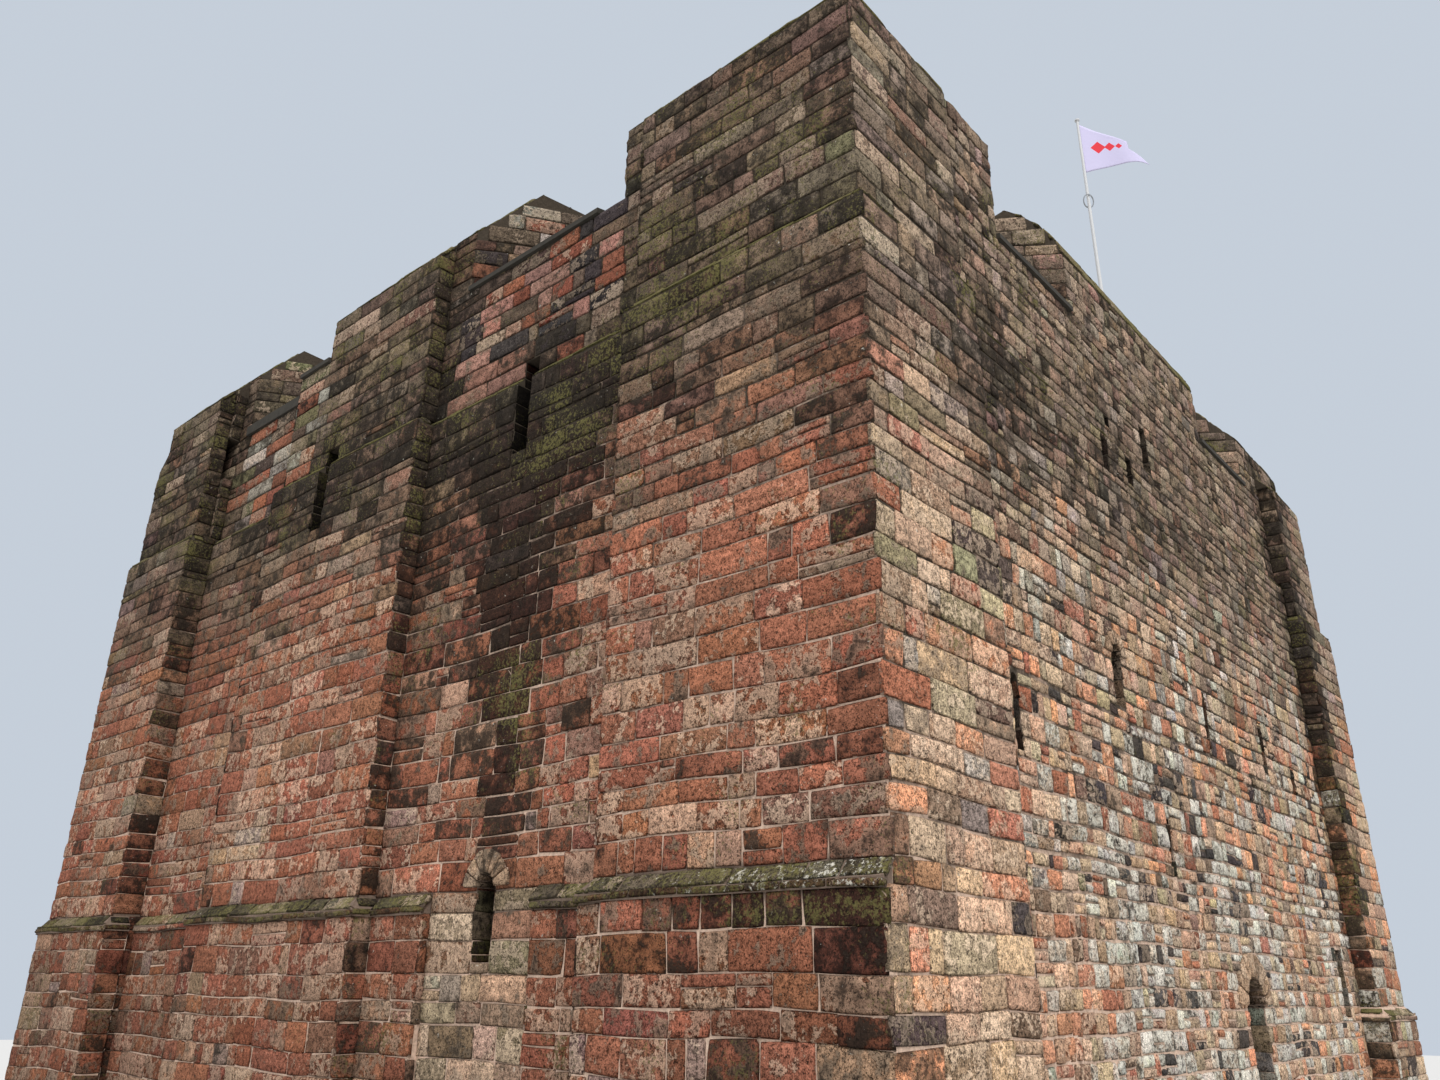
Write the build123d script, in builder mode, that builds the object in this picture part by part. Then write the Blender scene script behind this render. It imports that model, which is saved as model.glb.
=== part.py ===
# Square stone keep with clasping corner buttresses, splayed gun embrasures and a flagpole
#
# Millimetres, +Z up. The origin is the middle of the plan at ground level.
# Faces are named as seen in the usual view: "front" looks along -Y, "left" along -X.
# On each face, s runs along the face from its left end, seen from outside, and depth runs inwards
# from the plane of the corner buttresses.

from build123d import *
from dataclasses import dataclass
from math import acos, atan2, cos, hypot, radians, sin, tan
import os

os.makedirs("parts", exist_ok=True)

# Plan
width_x = 20250
length_y = 20400
inner_face = 3000          # depth of the room's wall face behind the buttress plane
front_recess = 360         # depth of the plain wall on the front and back
side_recess = 320          # depth of the wall in the near bay of the left and right faces
far_bay_recess = 540       # depth of the wall in the other bay of the left and right faces
set_back = 135             # how far everything steps in at the upper set-off

# Levels
string_z = 8170            # top of the moulding over the lower stage
string_height = 270
string_upright = 90        # the moulding's front is upright to here, and slopes back above
low_stage_z = 6800         # the lower stage ends lower at the front right corner
first_floor_z = 5200
second_floor_z = 9700
third_floor_z = 14000
set_off_z = 16050
low_set_off_z = 15200      # the front right corner has its set-off lower
roof_z = 17500
front_sill_z = 18200       # top of the wall under the front and back parapets
side_sill_z = 18500        # top of the wall under the left and right parapets
floor_thickness = 350

# Lower stage
lower_stage_proud = 120
string_proud = 40          # the moulding stands this far in front of the lower stage

# Corner buttresses: two shapes, the same at opposite corners
wide_arm_front = 2750
wide_arm_side = 4050
narrow_arm_front = 2200
narrow_arm_side = 3000
side_step = 110            # the buttress sides step in this far at the set-off

# Middle buttresses of the left and right faces, measured from the wide corner buttress's corner
mid_buttress_start = 9030
mid_buttress_end = 13800
mid_turret_start = 9170    # the narrower part above the set-off
mid_turret_end = 13710
set_off_rise = 150         # height of the sloping course at a set-off

# Parapet
front_parapet = 1250       # thickness at a merlon, from the upper wall face
side_parapet = 1750
cheek_angle = 35           # splay of an embrasure's cheeks, in degrees
slope_angle = 50           # outer slope of the merlons' tops, in degrees
front_merlon_height = 2300 # from the wall's top to the crest, on the front and back
side_merlon_height = 2400
wide_slope_rise = 1470     # height of the sloped top on the wide corners and middle turrets
high_slope_rise = 820      # the same where the wide turrets stand over the plain front wall
front_slope_rise = 1040
narrow_shoulder = 200      # the slope starts this far up on the narrow corner's front buttress
back_fall = 380            # how much a merlon's top falls from its crest to its inner face
low_merlon_rise = 430      # slope behind the low front of the narrow corner's turret
front_round_depth = 775    # the front and back merlons' curved top, from face to crest
round_depth_share = 0.34   # the curve passes this share of its depth
round_rise_share = 0.58    # at this share of its rise

# Merlon ends on the front and back, as shares of the face's length
turret_end_share = 0.2341
merlon_start_share = 0.3679
merlon_end_share = 0.6919
far_merlon_share = 0.162   # length of the far turret's merlon

# Merlon ends on the left and right, measured from the wide corner
side_turret_end = 4630
side_merlon_start = 8550
side_merlon_end = 12640
side_far_merlon = 3400

# Embrasure sill slabs
slab_thickness = 90
slab_overhang = 70
sill_fall_angle = 14       # the slab falls outwards at this angle
bare_sill = 570            # wall top left bare beside the wide turrets on the left and right

# Openings
collar = 350               # depth of the narrow outer part of a slit
splay_angle = 14           # each side of the inner part opens at this angle
narrow_splay_angle = 5
far_low_window = 3450      # from the front's far end back to its windows' left edges
far_middle_window = 6160
far_small_window = 4350
patch_start = 5360         # bay panel of squared stones round the low window, from the wide corner
patch_end = 7640

# Flagpole
pole_s = 14065
pole_depth = 2150
pole_base_diameter = 124
pole_top_diameter = 64
pole_top_z = 28300
socket_diameter = 420
socket_height = 260
truck_diameter = 130       # the cap on the pole's top
truck_height = 90
ring_z = 25640
ring_diameter = 362        # the halyard ring, over its outside
ring_bar = 22              # thickness and width of its bar
ring_turn = 70             # the ring tips over towards this side, in degrees from the front face
flag_hoist = 1570
flag_fly = 1750            # to the tip of the long lower tail
flag_tip_rise = 340        # from the foot of the hoist up to that tip
flag_top_fly = 1180        # to the end of the upper edge
flag_top_drop = 620        # from the head of the hoist down to that end
flag_notch_drop = 880      # the same for the notch between the tails
flag_thickness = 12
flag_top_gap = 100         # from the cap down to the flag
flag_angle = -49           # the flag flies this far round from the front face, in degrees
touch_gap = 0.2            # the cloth's hem and the ring lie this close to the pole

# Sizes used all over
half_x = width_x / 2
half_y = length_y / 2
front_turret_end = width_x * turret_end_share
front_merlon_start = width_x * merlon_start_share
front_merlon_end = width_x * merlon_end_share
front_far_turret_start = width_x * (1 - far_merlon_share)
side_far_turret_start = length_y - side_far_merlon
front_crest_z = front_sill_z + front_merlon_height
side_crest_z = side_sill_z + side_merlon_height
wide_shoulder_z = side_crest_z - wide_slope_rise
high_shoulder_z = side_crest_z - high_slope_rise
front_shoulder_z = front_crest_z - front_slope_rise
narrow_shoulder_z = front_sill_z + narrow_shoulder
upper_front = front_recess + set_back
upper_side = side_recess + set_back
upper_far_bay = far_bay_recess + set_back
front_walk = upper_front + front_parapet
side_walk = upper_side + side_parapet
cheek = tan(radians(cheek_angle))
sill_fall = tan(radians(sill_fall_angle))
merlon_slope = tan(radians(slope_angle))


@dataclass(frozen=True)
class Face:
    """One face of the keep: where it starts, which way it runs and how its wall lies."""

    corner: tuple
    along: tuple
    outward: tuple
    length: float
    recess: float

    @property
    def inward(self):
        return tuple(-value for value in self.outward)

    def point(self, s, depth, z):
        return tuple(
            self.corner[i] + s * self.along[i] + depth * self.inward[i] + (z if i == 2 else 0) for i in range(3)
        )

    def elevation(self, depth):
        """Plane of the face at a depth: x runs along it and y is up."""
        return Plane(origin=self.point(0, depth, 0), x_dir=self.along, z_dir=self.outward)

    def plan(self, z):
        """Level plane: x runs along the face and y runs inwards."""
        return Plane(origin=self.point(0, 0, z), x_dir=self.along, z_dir=(0, 0, 1))

    def section(self, s):
        """Upright plane across the face: x runs inwards and y is up."""
        return Plane(origin=self.point(s, 0, 0), x_dir=self.inward, z_dir=self.along)


FACES = {
    "front": Face((-half_x, -half_y, 0), (1, 0, 0), (0, -1, 0), width_x, front_recess),
    "right": Face((half_x, -half_y, 0), (0, 1, 0), (1, 0, 0), length_y, side_recess),
    "back": Face((half_x, half_y, 0), (-1, 0, 0), (0, 1, 0), width_x, front_recess),
    "left": Face((-half_x, half_y, 0), (0, -1, 0), (-1, 0, 0), length_y, side_recess),
}


@dataclass(frozen=True)
class Opening:
    """A window, slit or doorway: its left edge, sill, width, height, head and inner splay."""

    s: float
    sill: float
    width: float
    height: float
    arched: bool = False
    splay: float = splay_angle


# Openings of the front, and of the back, which repeats it
LOW_FRONT_OPENINGS = [
    Opening(10840, first_floor_z, 860, 2070, arched=True),
    Opening(width_x - far_low_window, 6600, 450, 1260),
    Opening(8340, 8630, 130, 860),
]
MIDDLE_FRONT_OPENINGS = [
    Opening(3540, 9790, 170, 990, arched=True),
    Opening(6960, 11000, 350, 970, arched=True),
    Opening(10920, 10970, 170, 1000),
    Opening(width_x - far_middle_window, 11000, 240, 900),
    Opening(width_x - far_small_window, 10800, 250, 500),
]
UPPER_FRONT_OPENINGS = [
    Opening(7740, 15200, 240, 640, splay=narrow_splay_angle),
    Opening(8790, 15300, 240, 540, splay=narrow_splay_angle),
    Opening(8400, 16370, 200, 200, splay=narrow_splay_angle),
    Opening(10130, 15750, 330, 1290),
]

# Openings of the left and right, by their distance from the wide corner
LOW_SIDE_OPENINGS = [Opening(6280, 7280, 380, 1120, arched=True)]
UPPER_SIDE_OPENINGS = [
    Opening(6420, 14640, 340, 1720),
    Opening(11780, 14640, 380, 1720),
]


def flipped(face, points):
    """Turns (distance from the wide corner, depth) points into (s, depth) on a side face."""
    return [(face.length - distance, depth) for distance, depth in points]


def box_on(face, s0, s1, d0, d1, z0, z1, mode=Mode.ADD):
    """A block between two places along a face, two depths and two levels."""
    with BuildSketch(face.plan(z0)) as outline:
        with Locations(((s0 + s1) / 2, (d0 + d1) / 2)):
            Rectangle(s1 - s0, d1 - d0)
    extrude(outline.sketch, amount=z1 - z0, mode=mode)


def prism_on(face, points, z0, z1, mode=Mode.ADD):
    """An upright prism over an outline of (s, depth) points."""
    with BuildSketch(face.plan(z0)) as outline:
        with BuildLine():
            Polyline(*points, close=True)
        make_face()
    extrude(outline.sketch, amount=z1 - z0, mode=mode)


def profile_on(face, points, s0, s1, mode=Mode.ADD):
    """A bar with a (depth, z) profile, running along a face."""
    with BuildSketch(face.section(s0)) as profile:
        with BuildLine():
            Polyline(*points, close=True)
        make_face()
    extrude(profile.sketch, amount=s1 - s0, mode=mode)


def slope_between(face, low_points, high_points, z0, z1):
    """A sloping course: straight from one outline up to another."""
    outlines = []
    for points, z in ((low_points, z0), (high_points, z1)):
        with BuildSketch(face.plan(z)) as outline:
            with BuildLine():
                Polyline(*points, close=True)
            make_face()
        outlines.append(outline.sketch)
    loft(outlines, ruled=True)


def cut_opening(face, opening, s, outer):
    """Cuts a narrow outer slit and, behind its collar, a splayed inner reveal."""
    half = opening.width / 2
    middle = s + half
    head = opening.sill + opening.height
    spring = head - half if opening.arched else head
    box_on(face, s, s + opening.width, -set_back, outer + collar, opening.sill, spring, Mode.SUBTRACT)
    if opening.arched:
        with BuildSketch(face.elevation(-set_back)) as head_circle:
            with Locations((middle, spring)):
                Circle(half)
        extrude(head_circle.sketch, amount=-(outer + collar + set_back), mode=Mode.SUBTRACT)
    spread = (inner_face - outer - collar) * tan(radians(opening.splay))
    room_start = max(middle - half - spread, inner_face)
    room_end = min(middle + half + spread, face.length - inner_face)
    reveal = [
        (middle - half, outer + collar),
        (middle + half, outer + collar),
        (room_end, inner_face),
        (room_start, inner_face),
    ]
    prism_on(face, reveal, opening.sill, head, Mode.SUBTRACT)


def is_long_wall(name):
    """The front and back walls run past the ends of the left and right ones."""
    return name in ("front", "back")


def wall_span(name):
    """The s range of a wall."""
    start = side_recess if is_long_wall(name) else inner_face
    return start, FACES[name].length - start


def cut_openings(name, front_openings, side_openings, outer):
    """Cuts all the openings of one storey of a wall."""
    face = FACES[name]
    if is_long_wall(name):
        for opening in front_openings:
            cut_opening(face, opening, opening.s, outer)
    else:
        for opening in side_openings:
            cut_opening(face, opening, face.length - opening.s - opening.width, outer)


def plain_wall(name, z0, z1, front_openings, side_openings):
    """One storey of wall with its openings, its far bay set further back."""
    face = FACES[name]
    s0, s1 = wall_span(name)
    with BuildPart() as wall:
        box_on(face, s0, s1, face.recess, inner_face, z0, z1)
        if not is_long_wall(name):
            bay_end = face.length - mid_buttress_end
            box_on(face, narrow_arm_side, bay_end, 0, far_bay_recess, z0, z1, Mode.SUBTRACT)
        cut_openings(name, front_openings, side_openings, face.recess)
    return wall


def set_off_profile(recess, back):
    """Profile of an upper wall between two depths, stepping in at the set-off."""
    return [
        (recess, third_floor_z),
        (recess, set_off_z - set_off_rise),
        (recess + set_back, set_off_z),
        (recess + set_back, roof_z),
        (back, roof_z),
        (back, third_floor_z),
    ]


def upper_wall(name):
    """Wall from the third floor to the wall walk, with its set-off and its windows."""
    face = FACES[name]
    s0, s1 = wall_span(name)
    with BuildPart() as wall:
        if is_long_wall(name):
            profile_on(face, set_off_profile(face.recess, inner_face), s0, s1)
            box_on(face, s0, s0 + set_back, 0, inner_face, set_off_z, roof_z, Mode.SUBTRACT)
            box_on(face, s1 - set_back, s1, 0, inner_face, set_off_z, roof_z, Mode.SUBTRACT)
        else:
            bay_end = face.length - mid_buttress_end
            profile_on(face, set_off_profile(far_bay_recess, inner_face), s0, bay_end)
            profile_on(face, set_off_profile(face.recess, inner_face), bay_end, s1)
        cut_openings(name, UPPER_FRONT_OPENINGS, UPPER_SIDE_OPENINGS, face.recess + set_back)
    return wall


def parapet(name):
    """Breast wall of the parapet, from the wall walk up to the embrasures' sills."""
    face = FACES[name]
    with BuildPart() as breast:
        if is_long_wall(name):
            start = side_recess + set_back
            box_on(face, start, face.length - start, upper_front, front_walk, roof_z, front_sill_z)
        else:
            bay_end = face.length - mid_buttress_end
            end = face.length - front_walk
            box_on(face, front_walk, bay_end, upper_far_bay, side_walk, roof_z, side_sill_z)
            box_on(face, bay_end, end, upper_side, side_walk, roof_z, side_sill_z)
    return breast


@dataclass(frozen=True)
class Corner:
    """A corner: its own face starts here, and the face before it ends here."""

    title: str
    other: str
    arm_own: float
    arm_other: float
    proud_own: float
    proud_other: float
    stage_z: float
    step_z: float

    def outline(self, face, grow_own, grow_other, end_own, end_other, wall_in):
        """L-shaped outline of the clasping buttress, in (s, depth) of its own face."""
        wall_own = face.recess + wall_in
        wall_other = FACES[self.other].recess + wall_in
        return [
            (-grow_other, -grow_own),
            (self.arm_own + end_own, -grow_own),
            (self.arm_own + end_own, wall_own),
            (wall_other, wall_own),
            (wall_other, self.arm_other + end_other),
            (-grow_other, self.arm_other + end_other),
        ]


CORNERS = {
    "front": Corner(
        "front_left", "left", wide_arm_front, wide_arm_side, 0, lower_stage_proud, string_z, set_off_z
    ),
    "right": Corner(
        "front_right", "front", narrow_arm_side, narrow_arm_front,
        lower_stage_proud, lower_stage_proud, low_stage_z, low_set_off_z,
    ),
    "back": Corner(
        "back_right", "right", wide_arm_front, wide_arm_side, 0, lower_stage_proud, string_z, set_off_z
    ),
    "left": Corner(
        "back_left", "back", narrow_arm_side, narrow_arm_front,
        lower_stage_proud, lower_stage_proud, string_z, set_off_z,
    ),
}


def stage_outlines(corner, face):
    """Outlines of a corner's lower stage, its moulding, its plain shaft and its stepped top."""
    own = corner.proud_own
    other = corner.proud_other
    own_band = own + string_proud if own else 0
    other_band = other + string_proud if other else 0
    stage = corner.outline(face, own, other, own, other, 0)
    band = corner.outline(face, own_band, other_band, own_band, other_band, 0)
    shaft = corner.outline(face, 0, 0, 0, 0, 0)
    stepped = corner.outline(face, -set_back, -set_back, -side_step, -side_step, 0)
    return stage, band, shaft, stepped


def corner_buttress(name):
    """Clasping buttress from the ground to its set-off, with its lower stage and moulding."""
    face = FACES[name]
    corner = CORNERS[name]
    stage, band, shaft, stepped = stage_outlines(corner, face)
    band_z = corner.stage_z - string_height
    slope_z = band_z + string_upright
    weather_z = corner.step_z - set_off_rise
    with BuildPart() as buttress:
        prism_on(face, stage, 0, band_z)
        prism_on(face, band, band_z, slope_z)
        slope_between(face, band, shaft, slope_z, corner.stage_z)
        prism_on(face, shaft, corner.stage_z, weather_z)
        slope_between(face, shaft, stepped, weather_z, corner.step_z)
    return buttress


def bay_facing(name):
    """The proud lower stage of a side wall's bays, with its moulding, either side of the panel."""
    face = FACES[name]
    near = [
        (wide_arm_side + lower_stage_proud + string_proud, patch_start),
        (patch_end, mid_buttress_start - lower_stage_proud - string_proud),
    ]
    far = (
        mid_buttress_end + lower_stage_proud + string_proud,
        face.length - narrow_arm_side - lower_stage_proud - string_proud,
    )
    band_z = string_z - string_height
    with BuildPart() as facing:
        for bays, recess in ((near, side_recess), ([far], far_bay_recess)):
            front = recess - lower_stage_proud
            profile = [
                (recess, 0),
                (front, 0),
                (front, band_z),
                (front - string_proud, band_z),
                (front - string_proud, band_z + string_upright),
                (recess, string_z),
            ]
            for start, end in bays:
                profile_on(face, profile, face.length - end, face.length - start)
    return facing


def rectangle_outline(face, start, end, front, back):
    """A rectangle on a side face, by distances from the wide corner."""
    return flipped(face, [(start, front), (end, front), (end, back), (start, back)])


def mid_buttress(name):
    """Middle buttress of a side wall, with its lower stage, moulding, slit and set-off."""
    face = FACES[name]
    slit = UPPER_SIDE_OPENINGS[1]
    grow = lower_stage_proud + string_proud
    start, end = mid_buttress_start, mid_buttress_end
    stage = rectangle_outline(
        face, start - lower_stage_proud, end + lower_stage_proud, -lower_stage_proud, side_recess
    )
    band = rectangle_outline(face, start - grow, end + grow, -grow, side_recess)
    shaft = rectangle_outline(face, start, end, 0, side_recess)
    stepped = rectangle_outline(face, mid_turret_start, mid_turret_end, set_back, side_recess)
    band_z = string_z - string_height
    slope_z = band_z + string_upright
    with BuildPart() as buttress:
        prism_on(face, stage, 0, band_z)
        prism_on(face, band, band_z, slope_z)
        slope_between(face, band, shaft, slope_z, string_z)
        prism_on(face, shaft, string_z, set_off_z - set_off_rise)
        slope_between(face, shaft, stepped, set_off_z - set_off_rise, set_off_z)
        waste = rectangle_outline(face, slit.s, slit.s + slit.width, -set_back, side_recess)
        prism_on(face, waste, slit.sill, slit.sill + slit.height, Mode.SUBTRACT)
    return buttress


def slope_line(outer, shoulder, crest):
    """Outer slope of a merlon's top, from its shoulder up to its crest."""
    crest_depth = outer + (crest - shoulder) / merlon_slope
    return [(-inner_face, shoulder), (outer, shoulder), (crest_depth, crest)]


def low_front_line(crest):
    """The narrow corner's front: a low shoulder, then a wall face, then the slope."""
    crest_depth = upper_front + (crest - front_shoulder_z) / merlon_slope
    return [
        (-inner_face, narrow_shoulder_z),
        (set_back, narrow_shoulder_z),
        (upper_front, narrow_shoulder_z + low_merlon_rise),
        (upper_front, front_shoulder_z),
        (crest_depth, crest),
    ]


def with_back(line, crest, walk):
    """Closes a top line over the fall from the crest to the walk side."""
    above = side_crest_z + back_fall
    return line + [(walk, crest - back_fall), (walk, above), (-inner_face, above)]


def without_back(line, crest):
    """Closes a top line at its crest."""
    return line + [(-inner_face, crest)]


def long_arm_outline(arm, end):
    """Outline of a turret's arm on the front or back, by distance from the corner."""
    return [
        (set_back, set_back),
        (arm - side_step, set_back),
        (arm - side_step, upper_front),
        (end, upper_front),
        (end + cheek * front_parapet, front_walk),
        (set_back, front_walk),
    ]


def side_arm_outline(arm, end, bay):
    """Outline of a turret's arm on the left or right; bay is the depth of the wall beside it."""
    points = [(set_back, set_back), (arm - side_step, set_back), (arm - side_step, upper_side)]
    if bay > upper_side:
        points += [(arm, upper_side), (arm, bay)]
    return points + [(end, bay), (end + cheek * (side_walk - bay), side_walk), (set_back, side_walk)]


def turret_arm(face, points, sill, own_waste, cross_face, cross_waste, end=None):
    """One arm of a corner turret with the slopes of both faces cut over it, its own up to an end."""
    with BuildPart() as arm:
        prism_on(face, points, sill, side_crest_z)
        profile_on(face, own_waste, 0, end or face.length, Mode.SUBTRACT)
        profile_on(cross_face, cross_waste, 0, cross_face.length, Mode.SUBTRACT)
    return arm


def turret_arms(name):
    """The two arms of a corner turret's merlon."""
    own = FACES[name]
    other = FACES[CORNERS[name].other]
    slope = slope_line(set_back, wide_shoulder_z, side_crest_z)
    side_waste = with_back(slope, side_crest_z, side_walk)
    side_cross = without_back(slope, side_crest_z)
    if is_long_wall(name):
        strip_end = wide_arm_front - side_step
        front_points = long_arm_outline(wide_arm_front, front_turret_end)
        front_waste = with_back(slope, side_crest_z, front_walk)
        # over the plain wall the slope starts higher up than over the buttress
        high_slope = slope_line(upper_front, high_shoulder_z, side_crest_z)
        high_waste = with_back(high_slope, side_crest_z, front_walk)
        side_points = side_arm_outline(wide_arm_side, side_turret_end, upper_side)
        front_arm = turret_arm(own, front_points, front_sill_z, front_waste, other, side_cross, strip_end)
        with front_arm:
            profile_on(own, high_waste, strip_end, own.length, Mode.SUBTRACT)
        side_arm = turret_arm(other, flipped(other, side_points), side_sill_z, side_waste, own, side_cross)
        return front_arm, side_arm
    front_points = long_arm_outline(narrow_arm_front, width_x - front_far_turret_start)
    front_waste = with_back(low_front_line(front_crest_z), front_crest_z, front_walk)
    side_points = side_arm_outline(narrow_arm_side, length_y - side_far_turret_start, upper_far_bay)
    front_cross = without_back(low_front_line(side_crest_z), side_crest_z)
    front_arm = turret_arm(other, flipped(other, front_points), front_sill_z, front_waste, own, side_cross)
    side_arm = turret_arm(own, side_points, side_sill_z, side_waste, other, front_cross)
    return front_arm, side_arm


def corner_turret(name):
    """Corner turret: the buttress's narrower top with an L-shaped merlon over it."""
    face = FACES[name]
    corner = CORNERS[name]
    front_arm, side_arm = turret_arms(name)
    shoulder = wide_shoulder_z if is_long_wall(name) else narrow_shoulder_z
    strip_top = min(side_sill_z, shoulder)
    lower = corner.outline(face, -set_back, -set_back, -side_step, -side_step, 0)
    upper = corner.outline(face, -set_back, -set_back, -side_step, -side_step, set_back)
    with BuildPart() as turret:
        if corner.step_z < set_off_z:
            prism_on(face, lower, corner.step_z, set_off_z)
        prism_on(face, upper, set_off_z, strip_top)
        if not is_long_wall(name):
            # the side arm's strip goes on up to its own sill
            strip = [
                (upper_front, set_back),
                (narrow_arm_side - side_step, set_back),
                (narrow_arm_side - side_step, upper_side),
                (upper_front, upper_side),
            ]
            prism_on(face, strip, strip_top, side_sill_z)
        add(front_arm.part)
        add(side_arm.part)
    return turret


def mid_turret(name):
    """Middle buttress's narrower top with the merlon over it."""
    face = FACES[name]
    slit = UPPER_SIDE_OPENINGS[1]
    outline = [
        (side_merlon_start - cheek * side_parapet, side_walk),
        (side_merlon_start, upper_side),
        (mid_turret_start, upper_side),
        (mid_turret_start, set_back),
        (side_merlon_end, set_back),
        (side_merlon_end + cheek * (side_walk - set_back), side_walk),
    ]
    top_line = slope_line(set_back, wide_shoulder_z, side_crest_z)
    strip = rectangle_outline(face, mid_turret_start, mid_turret_end, set_back, upper_side)
    waste = rectangle_outline(face, slit.s, slit.s + slit.width, 0, upper_side)
    with BuildPart() as turret:
        prism_on(face, flipped(face, outline), side_sill_z, side_crest_z)
        profile_on(face, with_back(top_line, side_crest_z, side_walk), 0, face.length, Mode.SUBTRACT)
        prism_on(face, strip, set_off_z, side_sill_z)
        prism_on(face, waste, set_off_z, slit.sill + slit.height, Mode.SUBTRACT)
    return turret


def front_merlon(name):
    """Long merlon of the front or back, with a rounded outer edge and splayed ends."""
    face = FACES[name]
    spread = cheek * front_parapet
    rise = front_crest_z - front_shoulder_z
    bulge = (
        upper_front + round_depth_share * front_round_depth,
        front_shoulder_z + round_rise_share * rise,
    )
    crest = (upper_front + front_round_depth, front_crest_z)
    plan = [
        (front_merlon_start, upper_front),
        (front_merlon_end, upper_front),
        (front_merlon_end + spread, front_walk),
        (front_merlon_start - spread, front_walk),
    ]
    with BuildPart() as merlon:
        with BuildSketch(face.section(front_merlon_start - spread)):
            with BuildLine():
                Line((upper_front, front_sill_z), (upper_front, front_shoulder_z))
                ThreePointArc((upper_front, front_shoulder_z), bulge, crest)
                Polyline(
                    crest,
                    (front_walk, front_crest_z - back_fall),
                    (front_walk, front_sill_z),
                    (upper_front, front_sill_z),
                )
            make_face()
        extrude(amount=front_merlon_end - front_merlon_start + 2 * spread)
        prism_on(face, plan, front_sill_z, front_crest_z, Mode.INTERSECT)
    return merlon


def sill_slab(face, outline, outer, walk, sill):
    """A slab falling outwards over an embrasure's sill; outer is the depth of its thin edge."""
    back_z = sill + slab_thickness + (walk - outer) * sill_fall
    waste = [(outer, sill + slab_thickness), (walk, back_z), (outer, back_z)]
    with BuildPart() as slab:
        prism_on(face, outline, sill, back_z)
        profile_on(face, waste, 0, face.length, Mode.SUBTRACT)
    return slab


def front_slabs(name):
    """Sill slabs of the front's or back's two embrasures."""
    face = FACES[name]
    outer = upper_front - slab_overhang
    spread = cheek * front_parapet
    slabs = []
    for start, end in (
        (front_turret_end, front_merlon_start), (front_merlon_end, front_far_turret_start)
    ):
        outline = [
            (start, outer),
            (end, outer),
            (end, upper_front),
            (end - spread, front_walk),
            (start + spread, front_walk),
            (start, upper_front),
        ]
        slabs.append(sill_slab(face, outline, outer, front_walk, front_sill_z))
    return slabs


def side_slabs(name):
    """Sill slabs of a side's two embrasures; the far one also covers the buttress's top."""
    face = FACES[name]
    outer = upper_side - slab_overhang
    start = side_turret_end + bare_sill
    near = [
        (start, outer),
        (side_merlon_start, outer),
        (side_merlon_start, upper_side),
        (side_merlon_start - cheek * side_parapet, side_walk),
        (side_turret_end + cheek * side_parapet, side_walk),
        (start, upper_side + bare_sill / cheek),
    ]
    thin_edge = set_back - slab_overhang
    bay_edge = upper_far_bay - slab_overhang
    far = [
        (side_merlon_end, thin_edge),
        (mid_turret_end, thin_edge),
        (mid_turret_end, bay_edge),
        (side_far_turret_start, bay_edge),
        (side_far_turret_start, upper_far_bay),
        (side_far_turret_start - cheek * (side_walk - upper_far_bay), side_walk),
        (side_merlon_end + cheek * (side_walk - set_back), side_walk),
        (side_merlon_end, set_back),
    ]
    return [
        sill_slab(face, flipped(face, near), outer, side_walk, side_sill_z),
        sill_slab(face, flipped(face, far), thin_edge, side_walk, side_sill_z),
    ]


def sills(name):
    """Both sill slabs of a face as one node."""
    slabs = front_slabs(name) if is_long_wall(name) else side_slabs(name)
    with BuildPart() as pair:
        for slab in slabs:
            add(slab.part)
    return pair


def floor_slab(top):
    """A floor between the inner faces of the walls."""
    with BuildPart() as slab:
        with Locations((0, 0, top - floor_thickness / 2)):
            Box(width_x - 2 * inner_face, length_y - 2 * inner_face, floor_thickness)
    return slab


pole_x, pole_y, walk_z = FACES["front"].point(pole_s, pole_depth, roof_z)
pole_height = pole_top_z - truck_height - walk_z
standing = (Align.CENTER, Align.CENTER, Align.MIN)


def pole_radius(z):
    """Radius of the tapering pole at a level."""
    share = (z - walk_z) / pole_height
    return (pole_base_diameter + (pole_top_diameter - pole_base_diameter) * share) / 2


def pole():
    """Tapering flagpole standing on the wall walk, with a chamfered cap on its top."""
    with BuildPart() as shaft:
        with Locations((pole_x, pole_y, walk_z)):
            Cone(pole_base_diameter / 2, pole_top_diameter / 2, pole_height, align=standing)
        with Locations((pole_x, pole_y, walk_z + pole_height)):
            Cylinder(truck_diameter / 2, truck_height, align=standing)
        rims = shaft.edges().filter_by(GeomType.CIRCLE).sort_by(SortBy.RADIUS)[-2:]
        chamfer(rims, truck_height / 3)
    return shaft


def pole_socket():
    """Stepped collar on the walk round the foot of the pole."""
    with BuildPart() as socket:
        with Locations((pole_x, pole_y, walk_z)):
            Cylinder(socket_diameter / 2, socket_height / 3, align=standing)
            Cylinder(socket_diameter / 3, socket_height, align=standing)
            Cylinder(pole_base_diameter / 2, socket_height, align=standing, mode=Mode.SUBTRACT)
    return socket


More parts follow.
